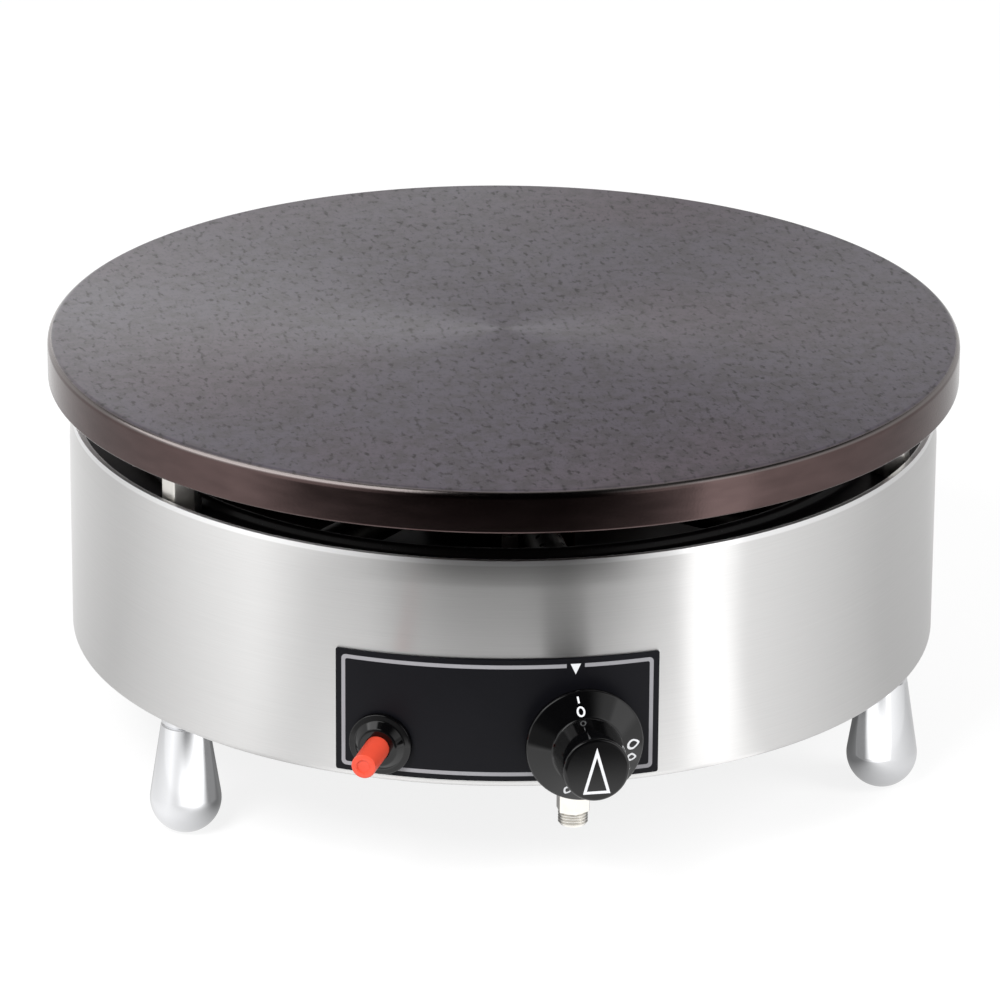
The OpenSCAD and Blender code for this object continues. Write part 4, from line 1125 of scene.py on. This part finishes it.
class CREPE_OT_knob(bpy.types.Operator):
    """Moulds the gas knob and prints its marks"""

    bl_idname = "crepe.knob"
    bl_label = "Gas knob"

    def execute(self, context):
        size = context.scene.crepe_maker.knob
        edge = KNOB_BACK + size.skirt_edge
        cone = KNOB_BACK + size.cone_height
        hollow = KNOB_BACK + size.hollow
        inside = size.skirt_radius - size.skirt_wall
        corners = [
            (0.0, hollow, 0.0),
            (size.grip_radius - size.hollow_inset, hollow, size.hollow_edge),
            (inside, edge, 0.0),
            (inside, KNOB_BACK, size.inner_edge),
            (size.skirt_radius, KNOB_BACK, size.back_edge),
            (size.skirt_radius, edge, size.rim_edge),
            (size.grip_radius, cone, size.fillet),
            (size.grip_front, KNOB_FRONT, size.grip_edge),
            (0.0, KNOB_FRONT, 0.0),
        ]
        knob = moved(turned(corners, steps=96), outwards(KNOB_LEVEL))
        keep("knob", knob, "black_plastic", "knob", "gas_knob")

        marks = self.dial_marks(size, edge, cone)
        marks.append(self.arrow(size))
        printed = bmesh.new()
        for mark in marks:
            mesh = bpy.data.meshes.new("mark")
            mark.to_mesh(mesh)
            mark.free()
            printed.from_mesh(mesh)
            bpy.data.meshes.remove(mesh)
        moved(printed, outwards(KNOB_LEVEL))
        keep("knob_marks", printed, "white_print", "knob")
        return {"FINISHED"}

    @staticmethod
    def arrow(size):
        """The outlined triangle on the front of the grip."""
        half = math.atan2(size.arrow_width / 2, size.arrow_height)
        shapes = []
        for shrink, depth in ((0.0, size.print_height), (size.arrow_stroke, 4 * size.print_height)):
            height = size.arrow_height - shrink - shrink / math.sin(half)
            width = size.arrow_width * height / size.arrow_height
            drop = (size.arrow_height - height) / 2 - shrink
            shapes.append(moved(triangle(width, height, depth), Matrix.Translation((0.0, -drop, 0.0))))
        return moved(combined("DIFFERENCE", *shapes), Matrix.Translation((0.0, 0.0, KNOB_FRONT)))

    def dial_marks(self, size, edge, cone):
        """The nought with its line, and the flames, on the cone of the skirt."""
        run = size.skirt_radius - size.grip_radius
        rise = cone - edge
        slope = math.hypot(run, rise)
        lean = math.atan2(run, -rise)
        radius = (size.skirt_radius + size.grip_radius) / 2
        level = (edge + cone) / 2
        thick = size.print_height
        line_length, line_shift = 0.24 * slope, 0.20 * slope
        nought_height, nought_shift = 0.38 * slope, -0.22 * slope
        line = block(size.mark, line_length, 2 * thick, (0.0, line_shift, 0.0))
        nought = self.ring(size.nought_width, nought_height, size.mark, thick, nought_shift)
        off = math.pi + size.off_turn
        marks = [bent_round(shape, off, radius, level, lean) for shape in (line, nought)]
        for clockwise, tall in FLAMES:
            flame = self.flame(tall, size.mark, thick)
            marks.append(bent_round(flame, math.radians(180 - clockwise), radius, level, lean))
        return marks

    @staticmethod
    def ring(width, height, stroke, thick, shift):
        """An upright oval ring."""
        shapes = []
        for shrink, depth in ((0.0, thick), (2 * stroke, 4 * thick)):
            shape = rod(0.5, -depth, depth, sides=40)
            moved(shape, Matrix.Diagonal((width - shrink, height - shrink, 1.0, 1.0)))
            shapes.append(moved(shape, Matrix.Translation((0.0, shift, 0.0))))
        return combined("DIFFERENCE", *shapes)

    @staticmethod
    def flame(tall, stroke, thick):
        """An outlined drop that stands for a flame."""
        belly, taper, slimness = 0.9, 0.75, 0.72
        inside = tall - 3.2 * stroke
        shapes = []
        for height, depth in ((tall, thick), (inside, 4 * thick)):
            shape = rod(0.5, -depth, depth, sides=40)
            for vert in shape.verts:
                vert.co.x *= min(1.0, 1.0 - taper * vert.co.y) * belly
            shapes.append(moved(shape, Matrix.Diagonal((height * slimness, height, 1.0, 1.0))))
        return combined("DIFFERENCE", *shapes)


class CREPE_OT_igniter(bpy.types.Operator):
    """Moulds the igniter's stepped bezel and its button"""

    bl_idname = "crepe.igniter"
    bl_label = "Igniter"

    def execute(self, context):
        size = context.scene.crepe_maker.igniter
        seat = PANEL_FACE + HAIR_GAP
        front = seat + size.bezel_height
        stop = seat - size.stop_depth
        back = seat - size.barrel_depth
        bore = size.button_radius + size.play
        mouth = size.button_radius + size.mouth
        step = size.bezel_radius - size.bezel_step
        corners = [
            (0.0, back + size.barrel_floor, 0.0),
            (size.bore_radius, back + size.barrel_floor, 0.0),
            (size.bore_radius, stop, 0.0),
            (bore, stop, 0.0),
            (bore, front, size.edge),
            (mouth, front, size.mouth_edge),
            (step, seat + size.bezel_edge + size.step_rise, size.edge),
            (size.bezel_radius, seat + size.bezel_edge, size.step_edge),
            (size.bezel_radius, seat, size.seat_edge),
            (size.barrel_radius, seat, 0.0),
            (size.barrel_radius, back, size.barrel_edge),
            (size.terminal_radius, back, 0.0),
            (size.terminal_radius, back - size.terminal_height, size.edge),
            (0.0, back - size.terminal_height, 0.0),
        ]
        place = outwards(IGNITER_LEVEL, IGNITER_BEARING)
        bezel = moved(turned(corners, steps=72), place)
        keep("igniter_bezel", bezel, "black_plastic", CHASSIS, "igniter_barrel")

        tip = front + size.button_reach
        head = stop - HAIR_GAP
        collar = size.bore_radius - size.play
        corners = [
            (0.0, head - size.button_head, 0.0),
            (collar, head - size.button_head, size.edge),
            (collar, head, size.edge),
            (size.button_radius, head, 0.0),
            (size.button_radius, tip, size.button_edge),
            (size.dish_radius, tip, size.edge),
            (size.dish_radius - size.dish_lean, tip - size.dish_depth, size.dish_edge),
            (0.0, tip - size.dish_depth, 0.0),
        ]
        button = moved(turned(corners, steps=56), place)
        keep("button", button, "red_plastic", "button", "igniter_button")
        return {"FINISHED"}


class CREPE_OT_inlet(bpy.types.Operator):
    """Cuts the gas inlet with its hexagon and thread"""

    bl_idname = "crepe.inlet"
    bl_label = "Gas inlet"

    def execute(self, context):
        size = context.scene.crepe_maker.inlet
        low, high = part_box("gas_inlet")
        bar = rod(size.hex_width / math.sqrt(3), size.hex_foot, size.hex_top, sides=6)
        moved(bar, Matrix.Rotation(math.pi / 6, 4, "Z"))
        chamfer(bar, bar.edges[:], size.hex_edge, segments=2)
        root = size.end_radius - size.thread_depth
        start = low.z + size.thread_start
        end_top = size.hex_foot + 2 * OVERLAP
        crest_low, crest_high = 0.40 * size.thread_pitch, 0.60 * size.thread_pitch
        corners = [(0.0, low.z, 0.0), (root, low.z, 0.0)]
        for i in range(size.turns):
            foot = start + i * size.thread_pitch
            corners.append((root, foot, 0.0))
            corners.append((size.end_radius, foot + crest_low, 0.0))
            corners.append((size.end_radius, foot + crest_high, 0.0))
        corners.append((root, start + size.turns * size.thread_pitch, 0.0))
        corners.append((root, end_top, 0.0))
        corners.append((0.0, end_top, 0.0))
        end = turned(corners, steps=56)
        neck = rod(size.neck_radius, size.hex_top - 2 * OVERLAP, high.z)
        bore = rod(size.bore_radius, low.z - CLEAR, high.z + CLEAR)
        fitting = combined("DIFFERENCE", combined("UNION", bar, end, neck), bore)
        place = middle_of("gas_inlet")
        moved(fitting, Matrix.Translation((place.x, place.y, 0.0)))
        keep("inlet", fitting, "nickel", CHASSIS, "gas_inlet")
        return {"FINISHED"}


class CREPE_OT_springs(bpy.types.Operator):
    """Winds the springs that the knob and the button close up"""

    bl_idname = "crepe.springs"
    bl_label = "Springs"

    def execute(self, context):
        size = context.scene.crepe_maker.springs
        igniter_place = outwards(IGNITER_LEVEL, IGNITER_BEARING)
        self.wind("tap", "knob_push", size.tap_turns, size.wire, outwards(KNOB_LEVEL))
        self.wind("igniter", "igniter_press", size.igniter_turns, size.wire, igniter_place)
        return {"FINISHED"}

    @staticmethod
    def wind(owner, joint, turns, wire, place):
        """A coil of wire, wound at an even pitch over the length of the spring's node."""
        node = f"{owner}_spring"
        points = [place.inverted() @ vert.co for vert in frame["nodes"][node].data.vertices]
        low = min(point.z for point in points)
        high = max(point.z for point in points)
        radius = max(math.hypot(point.x, point.y) for point in points) - wire
        coil = bmesh.new()
        bmesh.ops.create_circle(
            coil,
            cap_ends=True,
            segments=WIRE_SIDES,
            radius=wire,
            matrix=Matrix.Translation((radius, 0.0, low + wire)) @ Matrix.Rotation(math.pi / 2, 4, "X"),
        )
        steps = WIRE_STEPS * turns
        bmesh.ops.spin(
            coil,
            geom=coil.verts[:] + coil.edges[:] + coil.faces[:],
            cent=(0.0, 0.0, 0.0),
            axis=(0.0, 0.0, 1.0),
            dvec=(0.0, 0.0, (high - low - 2 * wire) / steps),
            angle=turns * FULL_TURN,
            steps=steps,
        )
        bmesh.ops.recalc_face_normals(coil, faces=coil.faces[:])
        spring = keep(f"{owner}_coil", moved(coil, place), "spring_steel", CHASSIS, node)
        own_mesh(spring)


class CREPE_OT_inner_parts(bpy.types.Operator):
    """Gives the burner, the tap and the other inner parts their finishes"""

    bl_idname = "crepe.inner_parts"
    bl_label = "Inner parts"

    def execute(self, context):
        parts = frame["record"]["subparts"]
        if not parts:
            raise RuntimeError("the packed record names no sub-parts")
        for part in parts:
            materials = frame["nodes"][part["node"]].data.materials
            materials.clear()
            materials.append(finish(part["material_slot"]))
        return {"FINISHED"}


# Where the camera and the lamps stand, what the lamps aim at, their width, and the camera's sensor.
CAMERA_PLACE = (-0.4803, -2.6869, 1.1678)
KEY_PLACE = (-1.15, -1.35, 1.75)
FILL_PLACE = (1.5, -0.9, 1.3)
LAMP_AIM = (0.0, 0.0, 0.12)
LAMP_WIDTH = 0.9
SENSOR_WIDTH = 36.0

# The floor: half its width, its glow for the camera and for mirrors, and how much paint the camera sees.
FLOOR_REACH = 8.0
FLOOR_GLOW = 0.82
FLOOR_MIRRORED = 0.25
FLOOR_PAINT = 0.3

# The light tent's cloths: bearing in degrees and level of light.
CLOTHS = (
    (-180, 0.7), (-146, 1.05), (-102, 0.82), (-60, 1.35), (-51, 1.1), (-44, 0.86),
    (-30, 0.31), (-15, 0.16), (2, 0.13), (20, 0.86), (25, 1.1), (26, 1.9),
    (35, 1.9), (38, 1.25), (80, 0.74), (112, 0.74), (145, 1.15), (180, 0.7),
)
BRIGHTEST = 2.0

# Fields of the tent: middle bearing in degrees, then how far aside each is still full, and gone.
TENT_FIELDS = {
    "ahead": (-15.0, 28.0, 44.0),
    "front": (-9.0, 26.0, 44.0),
    "centre": (-8.0, 14.0, 28.0),
    "window": (-62.0, 30.0, 40.0),
}

# Heights on the tent between which each border rises.
TENT_BORDERS = {
    "ground": (0.0005, 0.001),
    "front": (0.0, 0.03),
    "gloom": (0.08, 0.12),
    "high": (0.13, 0.16),
    "sheen": (0.18, 0.24),
    "dark": (0.24, 0.42),
    "window_foot": (0.26, 0.32),
    "window_top": (0.60, 0.70),
}

# Depths under the roof where it begins, distances from the axis where the ground brightens, and the
# bearing behind the object where a sheen hangs, with the cosines of its edges.
ROOF_BORDER = (0.04, 0.01)
UNDER_BORDER = (0.14, 0.21)
BEHIND = -165.0
BEHIND_BORDER = (0.75, 0.97)

# Levels of light of the tent's bright fields, then its sides and its height over the floor.
FRONT_LIGHT = 1.75
SHEEN_LIGHT = 1.3
WINDOW_LIGHT = 2.5
ROOF_LIGHT = 0.3
TENT_SIDES = 96
TENT_LIFT = 0.0001

# Strengths of its dark fields, and how much light is left close to the ground and under the object.
MIDDLE_GLOOM = 0.85
CENTRE_GLOOM = 1.3
AHEAD_EASE = 0.35
UPPER_DARK = 0.94
GROUND_LEVEL = 0.88
UNDER_LEVEL = 0.2


class CREPE_OT_stage(bpy.types.Operator):
    """Sets the floor, the light tent, the lamps and the camera"""

    bl_idname = "crepe.stage"
    bl_label = "Stage"

    def execute(self, context):
        size = context.scene.crepe_maker.stage
        context.scene.view_settings.view_transform = "Standard"
        self.sky(context, size)
        self.floor(context, size)
        self.tent(context, size)
        self.lamp(context, "key", KEY_PLACE, size.key)
        self.lamp(context, "fill", FILL_PLACE, size.fill)
        self.camera(context, size)
        return {"FINISHED"}

    @staticmethod
    def seen(nodes):
        """1 for rays from the camera, then 1 for rays from glossy things and glass."""
        outputs = ("Is_Camera_Ray", "Is_Glossy_Ray", "Is_Transmission_Ray")
        camera, glossy, through = [nodes.node("ShaderNodeLightPath", output=name) for name in outputs]
        return camera, nodes.maths("MINIMUM", glossy + through, 1.0)

    def sky(self, context, size):
        """White to look at, with a plain level of light."""
        world = bpy.data.worlds.new("studio")
        context.scene.world = world
        world.use_nodes = True
        nodes = Nodes(world.node_tree)
        camera, mirrored = self.seen(nodes)
        strength = size.sky + (1.0 - size.sky) * (camera + mirrored)
        light = nodes.node("ShaderNodeBackground", Color=(1.0, 1.0, 1.0, 1.0), Strength=strength)
        nodes.node("ShaderNodeOutputWorld", Surface=light)

    def floor(self, context, size):
        """A pale floor that looks white and keeps the shadow."""
        material, nodes = new_finish("floor")
        camera, mirrored = self.seen(nodes)
        shade = nodes.blend(camera, tuple(size.floor), scaled(size.floor, FLOOR_PAINT))
        pale = nodes.node("ShaderNodeBsdfDiffuse", Color=shade)
        glow = nodes.node("ShaderNodeEmission", Strength=FLOOR_GLOW * camera + FLOOR_MIRRORED * mirrored)
        both = nodes.node("ShaderNodeAddShader", Shader=pale, Shader_001=glow)
        nodes.node("ShaderNodeOutputMaterial", Surface=both)
        shape = bmesh.new()
        bmesh.ops.create_grid(shape, x_segments=1, y_segments=1, size=FLOOR_REACH)
        self.put(context, "floor", shape, material)

    def tent(self, context, size):
        """A wall of light and dark cloths that only shows in reflections."""
        material, nodes = new_finish("tent")
        x, y, z = nodes.axes()
        bearing = nodes.maths("DEGREES", nodes.maths("ARCTAN2", x, 0.0 - y))
        stops = [((degrees + 180) / 360, level / BRIGHTEST) for degrees, level in CLOTHS]
        level = nodes.node("ShaderNodeValToRGB", {"stops": stops}, output="Color", Fac=bearing / 360 + 0.5)
        field = {}
        for name, (middle, full, gone) in TENT_FIELDS.items():
            field[name] = 1 - nodes.rise(nodes.maths("ABSOLUTE", bearing - middle), full, gone)
        above = {name: nodes.rise(z, *border) for name, border in TENT_BORDERS.items()}
        roof = nodes.rise(z, *[size.wall_height - drop for drop in ROOF_BORDER])
        under = nodes.rise(nodes.maths("SQRT", x * x + y * y), *UNDER_BORDER)
        facing = nodes.maths("COSINE", nodes.maths("RADIANS", bearing - BEHIND))
        sheen = SHEEN_LIGHT * nodes.rise(facing, *BEHIND_BORDER) * above["sheen"]
        front = field["front"] * (1 - above["front"])
        middle_gloom = MIDDLE_GLOOM * field["ahead"] * above["gloom"] * (1 - above["high"])
        upper_gloom = (CENTRE_GLOOM * field["centre"] - AHEAD_EASE * field["ahead"]) * above["high"]
        hung = BRIGHTEST * level * (1 - front) * (1 - middle_gloom - upper_gloom)
        near_ground = GROUND_LEVEL + (1 - GROUND_LEVEL) * above["ground"]
        beneath = UNDER_LEVEL + (1 - UNDER_LEVEL) * under
        cloth = (hung + FRONT_LIGHT * front) * near_ground
        window = field["window"] * above["window_foot"] * (1 - above["window_top"])
        wall = (cloth + sheen) * (1 - UPPER_DARK * above["dark"]) * beneath
        strength = wall + WINDOW_LIGHT * window + ROOF_LIGHT * roof
        glow = nodes.node("ShaderNodeEmission", Strength=strength)
        nodes.node("ShaderNodeOutputMaterial", Surface=glow)
        shape = bmesh.new()
        bmesh.ops.create_cone(
            shape,
            cap_ends=False,
            segments=TENT_SIDES,
            radius1=size.wall_radius,
            radius2=size.wall_radius,
            depth=size.wall_height,
            matrix=Matrix.Translation((0.0, 0.0, size.wall_height / 2)),
        )
        for height in (TENT_LIFT, size.wall_height):
            bmesh.ops.create_circle(
                shape,
                cap_ends=True,
                segments=TENT_SIDES,
                radius=size.wall_radius,
                matrix=Matrix.Translation((0.0, 0.0, height)),
            )
        tent = self.put(context, "tent", shape, material)
        tent.visible_camera = False
        tent.visible_diffuse = False
        tent.visible_transmission = False
        tent.visible_shadow = False

    @staticmethod
    def put(context, name, shape, material):
        """Makes a shape a part of the stage."""
        mesh = bpy.data.meshes.new(name)
        shape.to_mesh(mesh)
        shape.free()
        mesh.materials.append(material)
        made = bpy.data.objects.new(name, mesh)
        context.scene.collection.objects.link(made)
        return made

    @staticmethod
    def lamp(context, name, place, power):
        """A square soft light that faces the object."""
        light = bpy.data.lights.new(name, "AREA")
        light.size = LAMP_WIDTH
        light.energy = power
        lamp = bpy.data.objects.new(name, light)
        lamp.visible_glossy = False
        lamp.location = place
        lamp.rotation_euler = (Vector(LAMP_AIM) - Vector(place)).to_track_quat("-Z", "Y").to_euler()
        context.scene.collection.objects.link(lamp)

    @staticmethod
    def camera(context, size):
        """The camera, at the viewpoint of the photo."""
        lens = bpy.data.cameras.new("camera")
        lens.lens = size.lens
        lens.sensor_width = SENSOR_WIDTH
        camera = bpy.data.objects.new("camera", lens)
        turn = (
            Matrix.Rotation(size.bearing, 4, "Z")
            @ Matrix.Rotation(math.pi / 2 - size.tilt, 4, "X")
            @ Matrix.Rotation(size.roll, 4, "Z")
        )
        camera.matrix_world = Matrix.Translation(CAMERA_PLACE) @ turn
        context.scene.collection.objects.link(camera)
        context.scene.camera = camera


PIECES = (
    CREPE_OT_griddle,
    CREPE_OT_drum,
    CREPE_OT_bowl,
    CREPE_OT_feet,
    CREPE_OT_posts,
    CREPE_OT_panel,
    CREPE_OT_knob,
    CREPE_OT_igniter,
    CREPE_OT_inlet,
    CREPE_OT_springs,
    CREPE_OT_inner_parts,
    CREPE_OT_stage,
)


class CREPE_PT_sidebar(bpy.types.Panel):
    """Lists the pieces of the crepe maker"""

    bl_idname = "CREPE_PT_sidebar"
    bl_label = "Crepe maker"
    bl_space_type = "VIEW_3D"
    bl_region_type = "UI"
    bl_category = "Crepe maker"

    def draw(self, context):
        for piece in PIECES:
            self.layout.operator(piece.bl_idname)


CLASSES = (
    GriddleSettings,
    DrumSettings,
    BowlSettings,
    StandSettings,
    PanelSettings,
    KnobSettings,
    IgniterSettings,
    InletSettings,
    SpringSettings,
    StageSettings,
    CrepeMakerSettings,
    *PIECES,
    CREPE_PT_sidebar,
)


def register():
    """Registers the classes and the settings."""
    for entry in CLASSES:
        bpy.utils.register_class(entry)
    bpy.types.Scene.crepe_maker = PointerProperty(type=CrepeMakerSettings)


def unregister():
    """Removes the settings and the classes."""
    del bpy.types.Scene.crepe_maker
    for entry in reversed(CLASSES):
        bpy.utils.unregister_class(entry)


def main():
    """Builds every piece in order."""
    register()
    bpy.ops.crepe.inner_parts()
    bpy.ops.crepe.griddle()
    bpy.ops.crepe.drum()
    bpy.ops.crepe.bowl()
    bpy.ops.crepe.feet()
    bpy.ops.crepe.posts()
    bpy.ops.crepe.panel()
    bpy.ops.crepe.knob()
    bpy.ops.crepe.igniter()
    bpy.ops.crepe.inlet()
    bpy.ops.crepe.springs()
    bpy.ops.crepe.stage()


if __name__ == "__main__":
    main()
